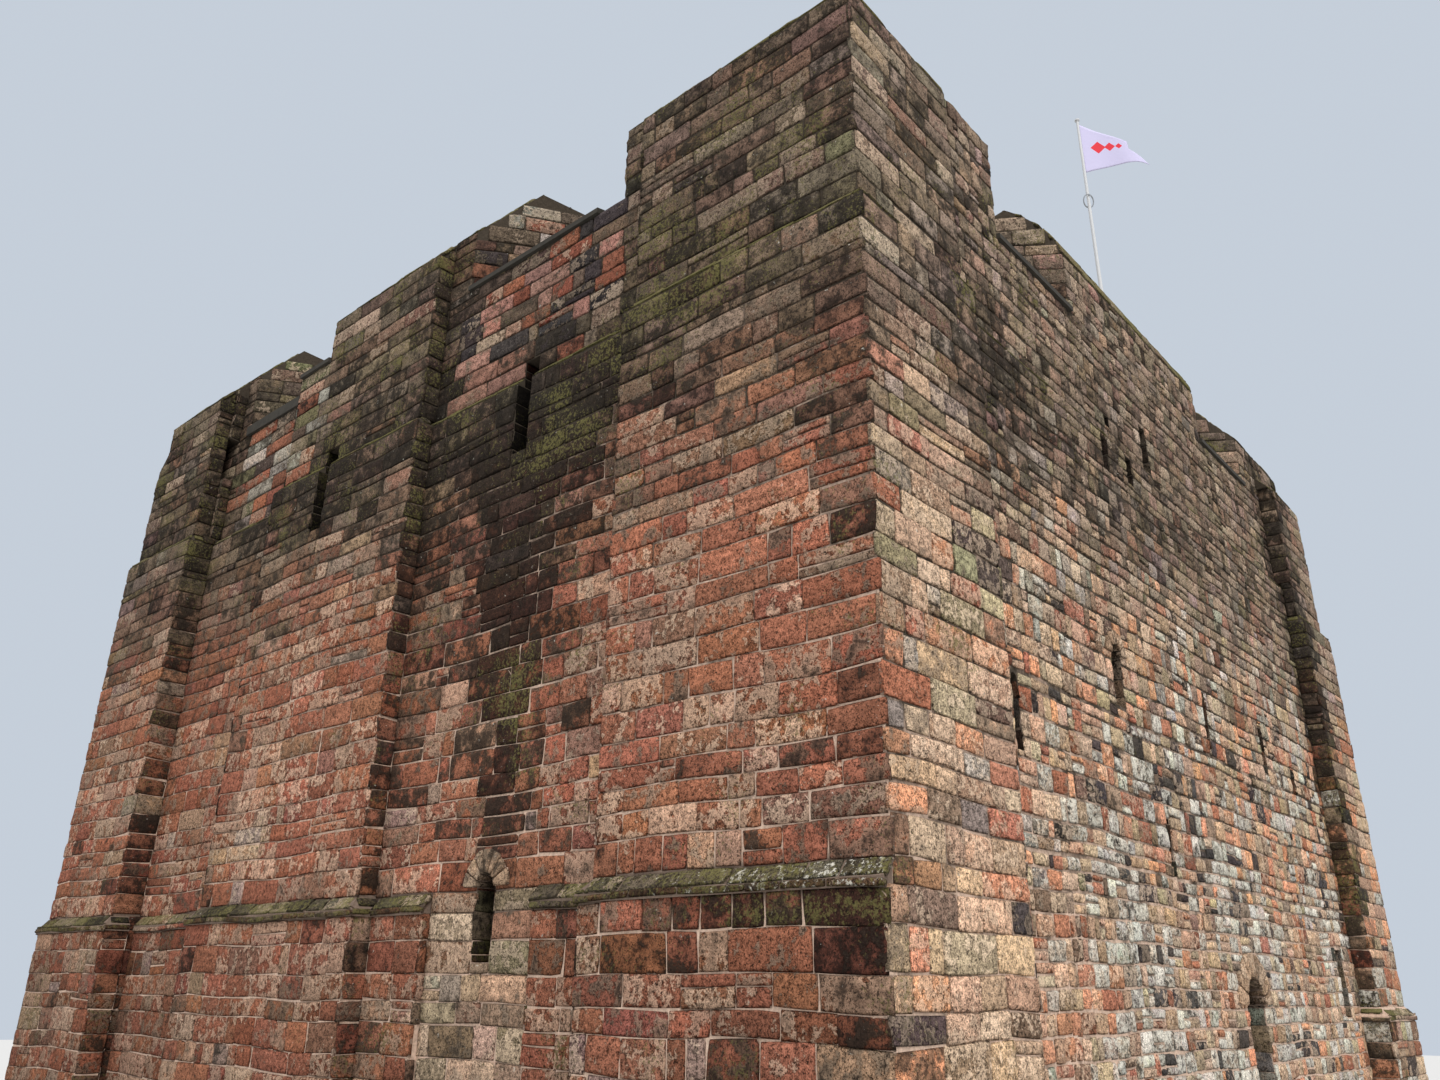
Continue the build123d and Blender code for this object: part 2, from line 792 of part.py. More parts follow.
def halyard_ring():
    """Loose ring round the pole, tipped over until its two sides rest against it."""
    inner = ring_diameter / 2 - ring_bar
    reach = hypot(inner, ring_bar / 2)
    room = pole_radius(ring_z - inner) + touch_gap
    tilt = acos(room / reach) - atan2(ring_bar / 2, inner)
    turned = radians(ring_turn)
    axis = (sin(tilt) * cos(turned), sin(tilt) * sin(turned), cos(tilt))
    with BuildPart() as ring:
        with BuildSketch(Plane(origin=(pole_x, pole_y, ring_z), z_dir=axis)):
            Circle(ring_diameter / 2)
            Circle(inner, mode=Mode.SUBTRACT)
        extrude(amount=ring_bar / 2, both=True)
    return ring


def flag():
    """Two-tailed flag flying from the pole, its hem against the tapering pole."""
    top = pole_top_z - truck_height - flag_top_gap
    bottom = top - flag_hoist
    turned = radians(flag_angle)
    plane = Plane(
        origin=(pole_x, pole_y, 0), x_dir=(cos(turned), sin(turned), 0), z_dir=(sin(turned), -cos(turned), 0)
    )
    outline = [
        (pole_radius(bottom) + touch_gap, bottom),
        (flag_fly, bottom + flag_tip_rise),
        (flag_top_fly, top - flag_notch_drop),
        (flag_top_fly, top - flag_top_drop),
        (pole_radius(top) + touch_gap, top),
    ]
    with BuildPart() as cloth:
        with BuildSketch(plane.offset(-flag_thickness / 2)):
            with BuildLine():
                Polyline(*outline, close=True)
            make_face()
        extrude(amount=flag_thickness)
    return cloth


nodes = {}
for name in FACES:
    nodes[name + "_lower_wall"] = plain_wall(name, 0, second_floor_z, LOW_FRONT_OPENINGS, LOW_SIDE_OPENINGS)
    nodes[name + "_middle_wall"] = plain_wall(name, second_floor_z, third_floor_z, MIDDLE_FRONT_OPENINGS, [])
    nodes[name + "_upper_wall"] = upper_wall(name)
    nodes[name + "_parapet"] = parapet(name)
    nodes[name + "_sills"] = sills(name)
for name, corner in CORNERS.items():
    nodes[corner.title + "_buttress"] = corner_buttress(name)
    nodes[corner.title + "_turret"] = corner_turret(name)
for name in ("left", "right"):
    nodes[name + "_lower_stage"] = bay_facing(name)
    nodes[name + "_middle_buttress"] = mid_buttress(name)
    nodes[name + "_middle_turret"] = mid_turret(name)
for name in ("front", "back"):
    nodes[name + "_merlon"] = front_merlon(name)
nodes["ground_floor"] = floor_slab(floor_thickness)
nodes["first_floor"] = floor_slab(first_floor_z)
nodes["second_floor"] = floor_slab(second_floor_z)
nodes["third_floor"] = floor_slab(third_floor_z)
nodes["roof_deck"] = floor_slab(roof_z)
nodes["flagpole"] = pole()
nodes["pole_socket"] = pole_socket()
nodes["halyard_ring"] = halyard_ring()
nodes["flag"] = flag()

for label, node in nodes.items():
    node.part.label = label
    export_step(node.part, f"parts/{label}.step")
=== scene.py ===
"""Castle keep: lays courses of stone over the CAD walls, flies the flag, and lights and frames it."""

import logging
import math
from collections.abc import Callable
from dataclasses import dataclass, field
from enum import Enum
from functools import reduce
from itertools import pairwise

import bmesh
import bpy
import numpy as np
from mathutils import Matrix, Vector
from mathutils.bvhtree import BVHTree


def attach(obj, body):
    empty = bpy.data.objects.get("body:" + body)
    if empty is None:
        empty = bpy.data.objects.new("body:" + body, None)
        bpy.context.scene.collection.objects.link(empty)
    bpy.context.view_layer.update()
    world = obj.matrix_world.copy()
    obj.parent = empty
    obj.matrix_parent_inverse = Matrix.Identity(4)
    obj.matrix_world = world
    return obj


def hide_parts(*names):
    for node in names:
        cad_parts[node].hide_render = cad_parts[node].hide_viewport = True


logging.basicConfig(level=logging.INFO, format="%(message)s")
log = logging.getLogger("keep")

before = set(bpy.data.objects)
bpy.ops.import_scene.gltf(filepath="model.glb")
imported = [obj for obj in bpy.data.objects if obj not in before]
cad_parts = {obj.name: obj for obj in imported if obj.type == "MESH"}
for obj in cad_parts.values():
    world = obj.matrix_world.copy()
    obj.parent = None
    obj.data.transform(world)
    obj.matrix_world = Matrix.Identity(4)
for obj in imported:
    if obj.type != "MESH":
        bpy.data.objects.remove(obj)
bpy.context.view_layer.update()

# The keep's plan and main levels, in metres, as the CAD model has them
HALF_X = 10.125
HALF_Y = 10.2
ROOF_Z = 17.5
SET_OFF_Z = 16.05
STRING_Z = 8.17
MOULDING = 0.14
# Places along the left and right faces: the panel of squared stones, the embrasures and the far bay
PANEL = (5.36, 7.64)
CRENELS = ((4.6, 8.6), (12.7, 17.0))
FAR_BAY = 12.0
# Outer stones lie no deeper behind their face than this
SKIN = 0.9
UP = np.array([0.0, 0.0, 1.0])
SEED = 1092

Interval = tuple[float, float]
Triple = tuple[float, float, float]
Colour = Triple


class Bond(Enum):
    """How stones are laid, all in metres."""

    ASHLAR = ((0.23, 0.4), (0.38, 1.12), 0.007, 0.022, 0.016)
    RUBBLE = ((0.19, 0.36), (0.19, 0.5), 0.014, 0.024, 0.02)
    COPING = ((0.3, 0.46), (0.5, 1.0), 0.008, 0.03, 0.014)
    PAVING = ((0.45, 0.6), (0.5, 0.9), 0.01, 0.012, 0.006)

    def __init__(self, course: Interval, length: Interval, joint: float, proud: float, edge: float) -> None:
        """Names a bond's measures.

        Args:
            course: lowest and highest course.
            length: shortest and longest stone.
            joint: width of a joint.
            proud: how far a stone stands in front of the mortar.
            edge: width of the worn edge.
        """
        self.course = course
        self.length = length
        self.joint = joint
        self.proud = proud
        self.edge = edge


class Tone(Enum):
    """Colours of the keep's stones, as linear red, green and blue."""

    SALMON = (0.35, 0.135, 0.08)
    ROSE = (0.26, 0.095, 0.058)
    PINK = (0.37, 0.2, 0.15)
    ORANGE = (0.62, 0.29, 0.165)
    TAN = (0.52, 0.35, 0.23)
    BUFF = (0.46, 0.36, 0.235)
    GREY = (0.33, 0.30, 0.255)
    PALE = (0.64, 0.60, 0.52)
    OLIVE = (0.17, 0.155, 0.085)
    BROWN = (0.20, 0.135, 0.095)
    UMBER = (0.11, 0.083, 0.062)
    BLACK = (0.035, 0.035, 0.038)


Mix = dict[Tone, float]


def shares(**parts: float) -> Mix:
    """Shares of the stone colours, by the tones' names."""
    return {Tone[name]: part for name, part in parts.items()}


INNER_MIX = shares(BROWN=3.0, GREY=1.6, UMBER=2.0, OLIVE=1.8, ROSE=0.6)
PANEL_MIX = shares(GREY=1.8, OLIVE=1.8, BUFF=1.6, TAN=2.4, BROWN=1.6, ROSE=1.2)
NEAR_CRENEL = shares(PINK=3.0, SALMON=1.2, ROSE=2.0, BROWN=1.6, UMBER=0.8, BLACK=3.2)
FAR_CRENEL = shares(PALE=0.5, GREY=1.8, SALMON=1.6, ROSE=1.6, OLIVE=2.2, UMBER=2.2)
SIDE_LOW = shares(SALMON=7.0, ROSE=4.0, TAN=0.5, BROWN=0.9, GREY=0.15, BUFF=0.1)
SIDE_TOP = shares(BROWN=5.4, UMBER=3.2, GREY=1.3, OLIVE=1.4, ROSE=1.4, TAN=0.6)
FRONT_WARM = shares(TAN=4.2, ORANGE=3.2, SALMON=1.5, BUFF=1.7, GREY=1.2, BROWN=1.2, BLACK=0.8)
FRONT_COOL = shares(PALE=5.0, GREY=2.2, TAN=1.3, BUFF=1.1, SALMON=0.7, BLACK=1.9)
FRONT_TOP = shares(BROWN=3.6, GREY=2.6, UMBER=1.2, TAN=1.8, ROSE=1.2, OLIVE=0.8)


@dataclass(frozen=True)
class Stain:
    """A soft-edged patch of weathering on a face, in metres along it and up it."""

    across: float
    height: float
    half_width: float
    half_height: float
    crust: float = 0.0
    moss: float = 0.0

    def weight(self, place: "Place") -> float:
        """How much of the stain lies at a place, from 0 to 1."""
        reach = ((place.along - self.across) / self.half_width) ** 2
        return math.exp(-reach - ((place.height - self.height) / self.half_height) ** 2)


SIDE_STAINS = (
    Stain(6.4, 12.6, 1.0, 3.0, crust=0.8, moss=0.14),
    Stain(6.2, 14.9, 2.4, 1.3, crust=0.42),
    Stain(8.75, 13.6, 0.35, 5.0, crust=0.35, moss=0.1),
    Stain(3.2, 15.6, 2.2, 1.6, crust=0.1, moss=0.25),
    Stain(13.95, 13.5, 0.35, 5.0, crust=0.55, moss=0.1),
    Stain(12.0, 15.6, 2.2, 1.0, crust=0.3, moss=0.2),
    Stain(6.4, 10.0, 0.7, 1.3, crust=0.4, moss=0.1),
    Stain(1.2, 7.75, 2.4, 0.4, crust=0.5, moss=0.5),
    Stain(0.15, 8.0, 0.35, 6.0, crust=0.4, moss=0.1),
)
FRONT_STAINS = (
    Stain(0.15, 6.5, 0.3, 7.0, crust=0.35, moss=0.12),
    Stain(3.6, 15.2, 1.6, 1.5, crust=0.35, moss=0.15),
    Stain(2.9, 12.5, 0.6, 3.5, crust=0.25),
    Stain(18.2, 11.0, 0.45, 8.0, crust=0.7, moss=0.3),
    Stain(9.0, 14.6, 6.0, 1.2, crust=0.15, moss=0.05),
    Stain(8.5, 9.6, 2.6, 1.2, crust=0.25),
)


@dataclass(frozen=True)
class Place:
    """Where a stone lies: on which face, how far along it, how high up, and how far behind it."""

    face: str
    along: float
    height: float
    depth: float

    @property
    def side(self) -> bool:
        """Whether it lies on the left or right face, which look alike, and not on the front or back."""
        return self.face in ("left", "right")


def place_of(point: np.ndarray) -> Place:
    """Tells which face a point lies nearest to, and where on it.

    Args:
        point: a point on the keep's surface.

    Returns:
        The place, with its distance along the face measured from the broad corner.
    """
    x, y, z = (float(value) for value in point)
    gap_x, gap_y = HALF_X - abs(x), HALF_Y - abs(y)
    if gap_x < gap_y:
        face, along = ("left", y + HALF_Y) if x < 0 else ("right", HALF_Y - y)
    else:
        face, along = ("front", x + HALF_X) if y < 0 else ("back", HALF_X - x)
    return Place(face, along, z, min(gap_x, gap_y))


def middle(stretch: Interval) -> float:
    """The middle of a stretch."""
    return (stretch[0] + stretch[1]) / 2


def ramp(value: float, low: float, high: float) -> float:
    """Straight ramp from 0 at low to 1 at high."""
    return min(1.0, max(0.0, (value - low) / (high - low)))


def is_crenel(place: Place) -> bool:
    """Whether a place lies below an embrasure of the left or right face."""
    return place.side and place.height > SET_OFF_Z and any(low < place.along < high for low, high in CRENELS)


def is_panel(place: Place) -> bool:
    """Whether a place lies in the panel of squared stones."""
    return place.side and PANEL[0] < place.along < PANEL[1] and place.height < STRING_Z


def side_mix(place: Place) -> Mix:
    """Shares of the stone colours on the left and right faces."""
    if is_crenel(place) and place.depth < 0.8:
        return FAR_CRENEL if place.along > FAR_BAY else NEAR_CRENEL
    if is_panel(place):
        return PANEL_MIX
    return blend_mix(SIDE_LOW, SIDE_TOP, ramp(place.height, 12.4, 15.2))


def front_mix(place: Place) -> Mix:
    """Shares of the stone colours on the front and back faces, grey in drifts low down."""
    swing = place.along * 1.15 + 1.3 * math.sin(place.height * 0.9)
    drift = 0.5 + 0.5 * math.sin(swing) * math.cos(place.height * 0.8)
    greys = ramp(place.along, 3.4, 6.2) * ramp(drift, 0.1, 0.75) * (1 - ramp(place.along, 17.0, 18.0))
    greys *= 1 - 0.45 * ramp(place.height, 8.5, 11.0)
    return blend_mix(blend_mix(FRONT_WARM, FRONT_COOL, greys), FRONT_TOP, ramp(place.height, 11.2, 14.4))


def blend_mix(first: Mix, second: Mix, share: float) -> Mix:
    """Mixes two sets of colour shares; share is how much of the second is taken."""
    ordered = [tone for tone in Tone if tone in first or tone in second]
    return {t: first.get(t, 0.0) * (1 - share) + second.get(t, 0.0) * share for t in ordered}


def average(mix: Mix) -> np.ndarray:
    """The colour that a set of shares makes together."""
    parts = np.array(list(mix.values()))
    return np.array([tone.value for tone in mix]).T @ parts / parts.sum()


@dataclass
class Look:
    """Colour and weathering of one stone.

    Bloom is pale lichen, skin its dull old surface, and light what is left of its brightness:
    less on a side face below the string course and towards its far bay, and painted shade where it is shut in.
    """

    tone: np.ndarray
    crust: float
    moss: float
    bloom: float
    skin: float
    light: float | np.ndarray = 1.0


@dataclass
class StoneSorter:
    """Picks each stone's colour and weathering from where it lies."""

    rng: np.random.Generator

    # How alike neighbours are, how much their brightness differs on side faces and others
    SAMENESS = (0.1, 0.42, 0.76)
    SPREAD = {True: 0.2, False: 0.32}
    # Painted shade: brightness of shut-in stones; the slope of a ledge, least lichen, and the blue of stones that
    # bear more
    RECESS_SHADE = (0.14, 0.36)
    LEDGE = 0.3
    BLOOM = 0.12
    PALEST = 0.24
    # How unevenly crust, moss and skin lie
    UNEVEN = (0.12, 0.08, 0.18)

    def look(self, point: np.ndarray, normal: np.ndarray, room: float) -> Look:
        """Chooses one stone's look.

        Args:
            point: the middle of the stone's face.
            normal: which way its face looks.
            room: open distance in front of the stone; where it is small, the stone is darkened with painted
                shade.

        Returns:
            The stone's look.
        """
        place = place_of(point)
        ledge = normal[2] > self.LEDGE
        tone, bloom = self._tone(place, ledge)
        crust, moss = self._weather(place, ledge, abs(normal[1]) > 0.5)
        if place.side and abs(place.height - STRING_Z + MOULDING) < MOULDING and place.depth < 0.3:
            tone, moss, crust = tone * 0.25 + np.array(Tone.OLIVE.value) * 0.25, 0.5, 0.42
            bloom = self.BLOOM + 0.46 * (1 - ramp(place.along, 1.0, 3.6))
        light = 1.0
        if place.side:
            stage = 0 if is_panel(place) else ramp(STRING_Z - place.height, 0.1, 0.6)
            light = 1 - 0.24 * stage - 0.12 * ramp(place.along, 13.0, 15.0)
        # Painted shade inside openings: shut-in stones are darkened, more so high up, and bear no lichen
        if room < Mason.CLOSE:
            light *= self.RECESS_SHADE[0] + (self.RECESS_SHADE[1] - self.RECESS_SHADE[0]) * ramp(room, 0.18, 0.36)
            light, bloom = light * (1 - 0.4 * ramp(place.height, 12.0, 14.0)), 0.0
        wear = zip((crust, moss, 0.4 if is_crenel(place) else 0.5), self.UNEVEN)
        crust, moss, skin = (float(np.clip(value + self.rng.normal(0, spread), 0, 1)) for value, spread in wear)
        return Look(np.clip(tone, 0.01, 0.8), crust, moss, bloom, skin, light)

    def _tone(self, place: Place, ledge: bool) -> tuple[np.ndarray, float]:
        """Draws a stone's colour, and how much pale lichen it bears."""
        mix = side_mix(place) if place.side else front_mix(place)
        if place.depth > SKIN or ledge:
            mix = INNER_MIX
        parts = np.array(list(mix.values()))
        tone = np.array(list(mix)[self.rng.choice(len(mix), p=parts / parts.sum())].value)
        bloom = self.BLOOM
        if not place.side and tone[2] > self.PALEST:
            bloom += 0.63 * ramp(place.along, 2.4, 4.8) * (1 - ramp(place.height, 10.5, 13.5))
        tone = tone + (average(mix) - tone) * self._sameness(place)
        spread = self.SPREAD[place.side]
        tone = tone * self.rng.uniform(1 - spread, 1 + spread) * (1 + self.rng.normal(0, 0.04, 3))
        return tone, bloom

    @staticmethod
    def _weather(place: Place, ledge: bool, across: bool) -> tuple[float, float]:
        """How much black crust and moss lies on a stone; more on the returns beside a side face's buttresses,
        where it also stands for painted shade on these shaded sides.
        """
        crust = 0.2 + 0.28 * ramp(place.height, 12.0, 16.0)
        moss = 0.06 + 0.22 * ramp(place.height, 13.5, 17.0)
        if is_crenel(place):
            crust, moss = crust - 0.25, moss - 0.2
        if not place.side:
            crust, moss = crust - 0.1, moss * 0.5
        for stain in SIDE_STAINS if place.side else FRONT_STAINS:
            weight = stain.weight(place)
            crust += stain.crust * weight
            moss += stain.moss * weight
        if ledge:
            moss += 0.6
        # The returns beside a side face's buttresses get more crust and moss, partly as painted shade on their
        # shaded sides
        elif place.side and across and place.depth < SKIN:
            crust, moss = crust + 0.26, moss + 0.16
        return crust, moss

    def _sameness(self, place: Place) -> float:
        """How far a stone's own colour gives way to its neighbours', most where the wall is weathered."""
        varied, low, high = self.SAMENESS
        if is_crenel(place):
            return varied
        if place.side:
            return low + (high - low) * ramp(place.height, 11.5, 14.5)
        return varied + (high - varied) * ramp(place.height, 11.5, 15.5)


# Shortest level edge of a plane that counts, shortest stretch, and how far up a normal points on level ground
LEVEL_EDGE = 0.1
TOUCH = 0.002
LEVEL = 0.97


@dataclass
class Facet:
    """All the CAD faces that lie in one plane, and what covers them."""

    normal: np.ndarray
    along: np.ndarray
    up: np.ndarray
    offset: float
    triangles: list[np.ndarray] = field(default_factory=list)
    covers: list[np.ndarray] = field(default_factory=list)

    def point(self, u: float, v: float, out: float = 0.0) -> np.ndarray:
        """The point at u along and v up the plane, out in front of it."""
        return self.along * u + self.up * v + self.normal * (self.offset + out)

    def flat(self, points: np.ndarray | list[np.ndarray]) -> np.ndarray:
        """The points' u and v."""
        return np.array([[p @ self.along, p @ self.up] for p in points])

    def open_spans(self, v: float) -> list[Interval]:
        """The stretches along the plane at height v that belong to it and that nothing covers."""
        return cut_spans(scan(self.triangles, v), scan(self.covers, v))

    def span(self) -> Interval:
        """Lowest and highest v."""
        heights = np.concatenate([t[:, 1] for t in self.triangles])
        return float(heights.min()), float(heights.max())

    def breaks(self) -> list[float]:
        """Heights at which the plane's outline, or what covers it, has a level edge."""
        found = set()
        for triangle in self.triangles + self.covers:
            for a, b in zip(triangle, triangle[[1, 2, 0]]):
                if abs(a[1] - b[1]) < 1e-4 and abs(a[0] - b[0]) > LEVEL_EDGE:
                    found.add(round(float(a[1]), 3))
        return sorted(found)


def scan(triangles: list[np.ndarray], v: float) -> list[Interval]:
    """Cuts triangles with a level line.

    Args:
        triangles: 3 by 2 arrays of (u, v).
        v: the line's height.

    Returns:
        The stretches of the line inside the triangles, joined where they touch.
    """
    found = []
    for triangle in triangles:
        heights = triangle[:, 1]
        if v <= heights.min() or v >= heights.max():
            continue
        cuts = []
        for a, b in zip(triangle, triangle[[1, 2, 0]]):
            if (a[1] - v) * (b[1] - v) < 0:
                share = (v - a[1]) / (b[1] - a[1])
                cuts.append(a[0] + share * (b[0] - a[0]))
            elif a[1] == v:
                cuts.append(a[0])
        if len(cuts) >= 2:
            found.append((float(min(cuts)), float(max(cuts))))
    return join_spans(found)


def join_spans(spans: list[Interval]) -> list[Interval]:
    """Joins stretches that touch or overlap."""
    joined: list[Interval] = []
    for low, high in sorted(spans):
        if joined and low <= joined[-1][1] + TOUCH:
            joined[-1] = (joined[-1][0], max(high, joined[-1][1]))
        else:
            joined.append((low, high))
    return joined


def cut_spans(spans: list[Interval], holes: list[Interval]) -> list[Interval]:
    """Takes the holes out of the stretches."""
    left = list(spans)
    for low, high in holes:
        kept = []
        for a, b in left:
            if high <= a or low >= b:
                kept.append((a, b))
                continue
            kept.extend(piece for piece in ((a, low), (high, b)) if piece[1] - piece[0] > TOUCH)
        left = kept
    return left


def common_spans(first: list[Interval], second: list[Interval]) -> list[Interval]:
    """The stretches that two lists share."""
    shared = []
    for a, b in first:
        for c, d in second:
            low, high = max(a, c), min(b, d)
            if high - low > TOUCH:
                shared.append((low, high))
    return join_spans(shared)


@dataclass
class Fabric:
    """The CAD nodes that stones are laid on, sorted into planes."""

    nodes: dict[str, bpy.types.Object]
    facets: list[Facet] = field(default_factory=list)
    trees: list[tuple[BVHTree, Vector, Vector]] = field(default_factory=list)

    FAR = 99.0
    PROBE = Vector((0.48, 0.36, 0.8))

    def gather(self) -> None:
        """Sorts every face of the nodes into planes, and pairs each plane with what covers it."""
        planes: dict[tuple, Facet] = {}
        for node in self.nodes.values():
            mesh = node.data
            mesh.calc_loop_triangles()
            points = np.array([vertex.co[:] for vertex in mesh.vertices])
            faces = [tuple(t.vertices) for t in mesh.loop_triangles]
            tree = BVHTree.FromPolygons(points.tolist(), faces)
            self.trees.append((tree, Vector(points.min(0)), Vector(points.max(0))))
            for face in faces:
                self._sort(planes, points[list(face)])
        for key, here in planes.items():
            there = planes.get(tuple(0.0 - value for value in key))
            if there is not None:
                here.covers = [here.flat([there.point(u, v) for u, v in t]) for t in there.triangles]
        self.facets = [facet for facet in planes.values() if facet.normal[2] > -0.5]

    @staticmethod
    def _sort(planes: dict[tuple, Facet], corners: np.ndarray) -> None:
        """Adds one triangle to its plane, and makes the plane where it is new."""
        normal = np.cross(corners[1] - corners[0], corners[2] - corners[0])
        size = np.linalg.norm(normal)
        if size < 1e-8:
            return
        normal = normal / size
        key = tuple(float(round(value, 2)) + 0.0 for value in (*normal, corners[0] @ normal))
        if key not in planes:
            level = abs(normal[2]) > LEVEL
            along = np.array([1.0, 0.0, 0.0]) if level else np.cross(UP, normal)
            along = along / np.linalg.norm(along)
            planes[key] = Facet(normal, along, np.cross(normal, along), float(corners[0] @ normal))
        planes[key].triangles.append(planes[key].flat(corners))

    def reach(self, start: Vector, way: Vector) -> float:
        """Distance from a place to the first solid along a way."""
        found = (tree.ray_cast(start, way)[3] for tree, _, _ in self.trees)
        return min((distance for distance in found if distance is not None), default=self.FAR)

    def is_inside(self, point: np.ndarray) -> bool:
        """Whether a point lies inside any of the solids."""
        place = Vector(point)
        for tree, low, high in self.trees:
            if all(low[i] <= place[i] <= high[i] for i in range(3)):
                normal = tree.ray_cast(place, self.PROBE)[1]
                if normal is not None and normal.dot(self.PROBE) > 0:
                    return True
        return False


@dataclass
class Pattern:
    """A worn block made once, whose copies are stretched to each stone's size."""

    points: np.ndarray
    faces: np.ndarray
    face_sizes: np.ndarray

    RIM = 0.2
    WORN_CORNER = (0.1, 0.7)
    WORN_SIDE = (0.0, 0.3)

    @classmethod
    def carve(cls, rng: np.random.Generator, cuts: int) -> "Pattern":
        """Makes a block with a worn front by bevelling and cutting up a cube.

        Args:
            rng: where its irregularity is drawn from.
            cuts: how many times its front's edges are cut.

        Returns:
            The pattern.
        """
        block = bmesh.new()
        bmesh.ops.create_cube(block, size=2.0)
        front = [e for e in block.edges if all(v.co.z > 0 for v in e.verts)]
        bmesh.ops.bevel(
            block, geom=front, offset=cls.RIM, offset_type="OFFSET", segments=1, profile=0.5,
            affect="EDGES", material=-1,
        )
        flat = [e for e in block.edges if all(v.co.z > 1 - 1e-4 for v in e.verts)]
        rim = [e for e in block.edges if all(abs(v.co.z - (1 - cls.RIM)) < 1e-4 for v in e.verts)]
        bmesh.ops.subdivide_edges(block, edges=flat + rim, cuts=cuts, use_grid_fill=True)
        block.normal_update()
        for vertex in block.verts:
            if vertex.co.z > 0:
                reach = cls.RIM * (0.35 if abs(vertex.co.z - 1) < 1e-3 else 0.25)
                corner = abs(vertex.co.x) > 0.7 and abs(vertex.co.y) > 0.7
                pull = 1 - cls.RIM * rng.uniform(*(cls.WORN_CORNER if corner else cls.WORN_SIDE))
                vertex.co.x *= pull
                vertex.co.y *= pull
                vertex.co.z += reach * rng.normal(0, 1.0)
        points = np.array([v.co[:] for v in block.verts])
        loops = np.array([v.index for f in block.faces for v in f.verts])
        sizes = np.array([len(f.verts) for f in block.faces])
        block.free()
        return cls(points, loops, sizes)

    def stretch(self, half_width: float, half_height: float, proud: float, sunk: float, rim: float) -> np.ndarray:
        """Stretches the block's middle, and keeps its worn rim as wide as it is.

        Args:
            half_width: half the stone's length.
            half_height: half its height.
            proud: how far its front stands out.
            sunk: how far its back lies behind the plane.
            rim: width of the worn edge.

        Returns:
            Points as (along, up, out).
        """
        inner = 1 - self.RIM
        flat = []
        for column, half in ((0, half_width), (1, half_height)):
            value = self.points[:, column]
            size = np.abs(value)
            near = size / inner * (half - rim)
            far = half - rim + (size - inner) / self.RIM * rim
            flat.append(np.sign(value) * np.where(size <= inner, near, far))
        out = self.points[:, 2]
        front = proud + (out - 1) / self.RIM * rim
        depth = np.where(out > 0, front, -sunk)
        return np.stack([flat[0], flat[1], depth], axis=1)


def put(name: str, data: bpy.types.ID) -> bpy.types.Object:
    """Makes an object and puts it in the scene."""
    made = bpy.data.objects.new(name, data)
    bpy.context.scene.collection.objects.link(made)
    return made


def settle(name: str, shape: bmesh.types.BMesh, finish: "PlainFinish | ClothFinish") -> bpy.types.Object:
    """Turns a shape into an object with its finish."""
    mesh = bpy.data.meshes.new(name)
    shape.to_mesh(mesh)
    shape.free()
    mesh.materials.append(finish.build(f"{name}_finish"))
    return put(name, mesh)


# The stones' own attributes: colour and lichen, weathering, shape of the face, brightness
LAYERS = {
    "stone_tone": ("FLOAT_COLOR", "color"),
    "stone_wear": ("FLOAT_VECTOR", "vector"),
    "stone_shape": ("FLOAT_COLOR", "color"),
    "stone_light": ("FLOAT", "value"),
}


@dataclass
class Heap:
    """Stones gathered for one joined piece."""

    name: str
    points: list[np.ndarray] = field(default_factory=list)
    loops: list[np.ndarray] = field(default_factory=list)
    sizes: list[np.ndarray] = field(default_factory=list)
    layers: list[tuple[np.ndarray, ...]] = field(default_factory=list)
    count: int = 0

    def add(self, pattern: Pattern, points: np.ndarray, flat: np.ndarray, half: Interval, look: Look) -> None:
        """Adds one stone.

        Args:
            pattern: the block that it is made from.
            points: its corners.
            flat: its corners along and up its own face, from its middle.
            half: half its length and half its height.
            look: its colour and weathering.
        """
        self.points.append(points)
        self.loops.append(pattern.faces + self.count)
        self.sizes.append(pattern.face_sizes)
        many = (len(points), 1)
        tone = np.tile(np.append(look.tone, look.bloom), many)
        wear = np.tile((look.crust, look.moss, look.skin), many)
        self.layers.append((tone, wear, np.hstack([flat, np.tile(half, many)]), np.full(len(points), look.light)))
        self.count += len(points)

    def build(self, material: bpy.types.Material, slot: str) -> bpy.types.Object:
        """Makes the joined mesh and hangs it on the keep.

        Args:
            material: the stones' material.
            slot: a material slot's name, which is not used.

        Returns:
            The new object.
        """
        mesh = bpy.data.meshes.new(self.name)
        loops = np.concatenate(self.loops)
        sizes = np.concatenate(self.sizes)
        mesh.vertices.add(self.count)
        mesh.vertices.foreach_set("co", np.concatenate(self.points).ravel())
        mesh.loops.add(len(loops))
        mesh.loops.foreach_set("vertex_index", loops)
        mesh.polygons.add(len(sizes))
        mesh.polygons.foreach_set("loop_start", np.concatenate([[0], np.cumsum(sizes)[:-1]]))
        mesh.polygons.foreach_set("use_smooth", np.ones(len(sizes), bool))
        mesh.update(calc_edges=True)
        for (name, (kind, part)), values in zip(LAYERS.items(), zip(*self.layers)):
            mesh.attributes.new(name, kind, "POINT").data.foreach_set(part, np.concatenate(values).ravel())
        mesh.materials.append(material)
        piece = put(self.name, mesh)
        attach(piece, "root")
        log.info("%s: %d stones, %d faces", self.name, len(self.points), int((sizes - 2).sum()))
        return piece


@dataclass(frozen=True)
class Arch:
    """The arch stones over a round-headed opening, with its middle in metres along its face."""

    faces: tuple[str, ...]
    middle: float
    spring: float
    radius: float
    ring: float
    depth: float
    stones: int

    def turn(self, across: np.ndarray, out: np.ndarray) -> tuple[np.ndarray, np.ndarray]:
        """Bends places along and up a straight row into places round the arch.

        Args:
            across: distance along the row, from the crown.
            out: distance up the row, from the ring's middle line.

        Returns:
            Places along and up the wall, from the arch's centre.
        """
        reach = self.radius + self.ring / 2
        angle = across / reach
        return np.sin(angle) * (reach + out), np.cos(angle) * (reach + out)


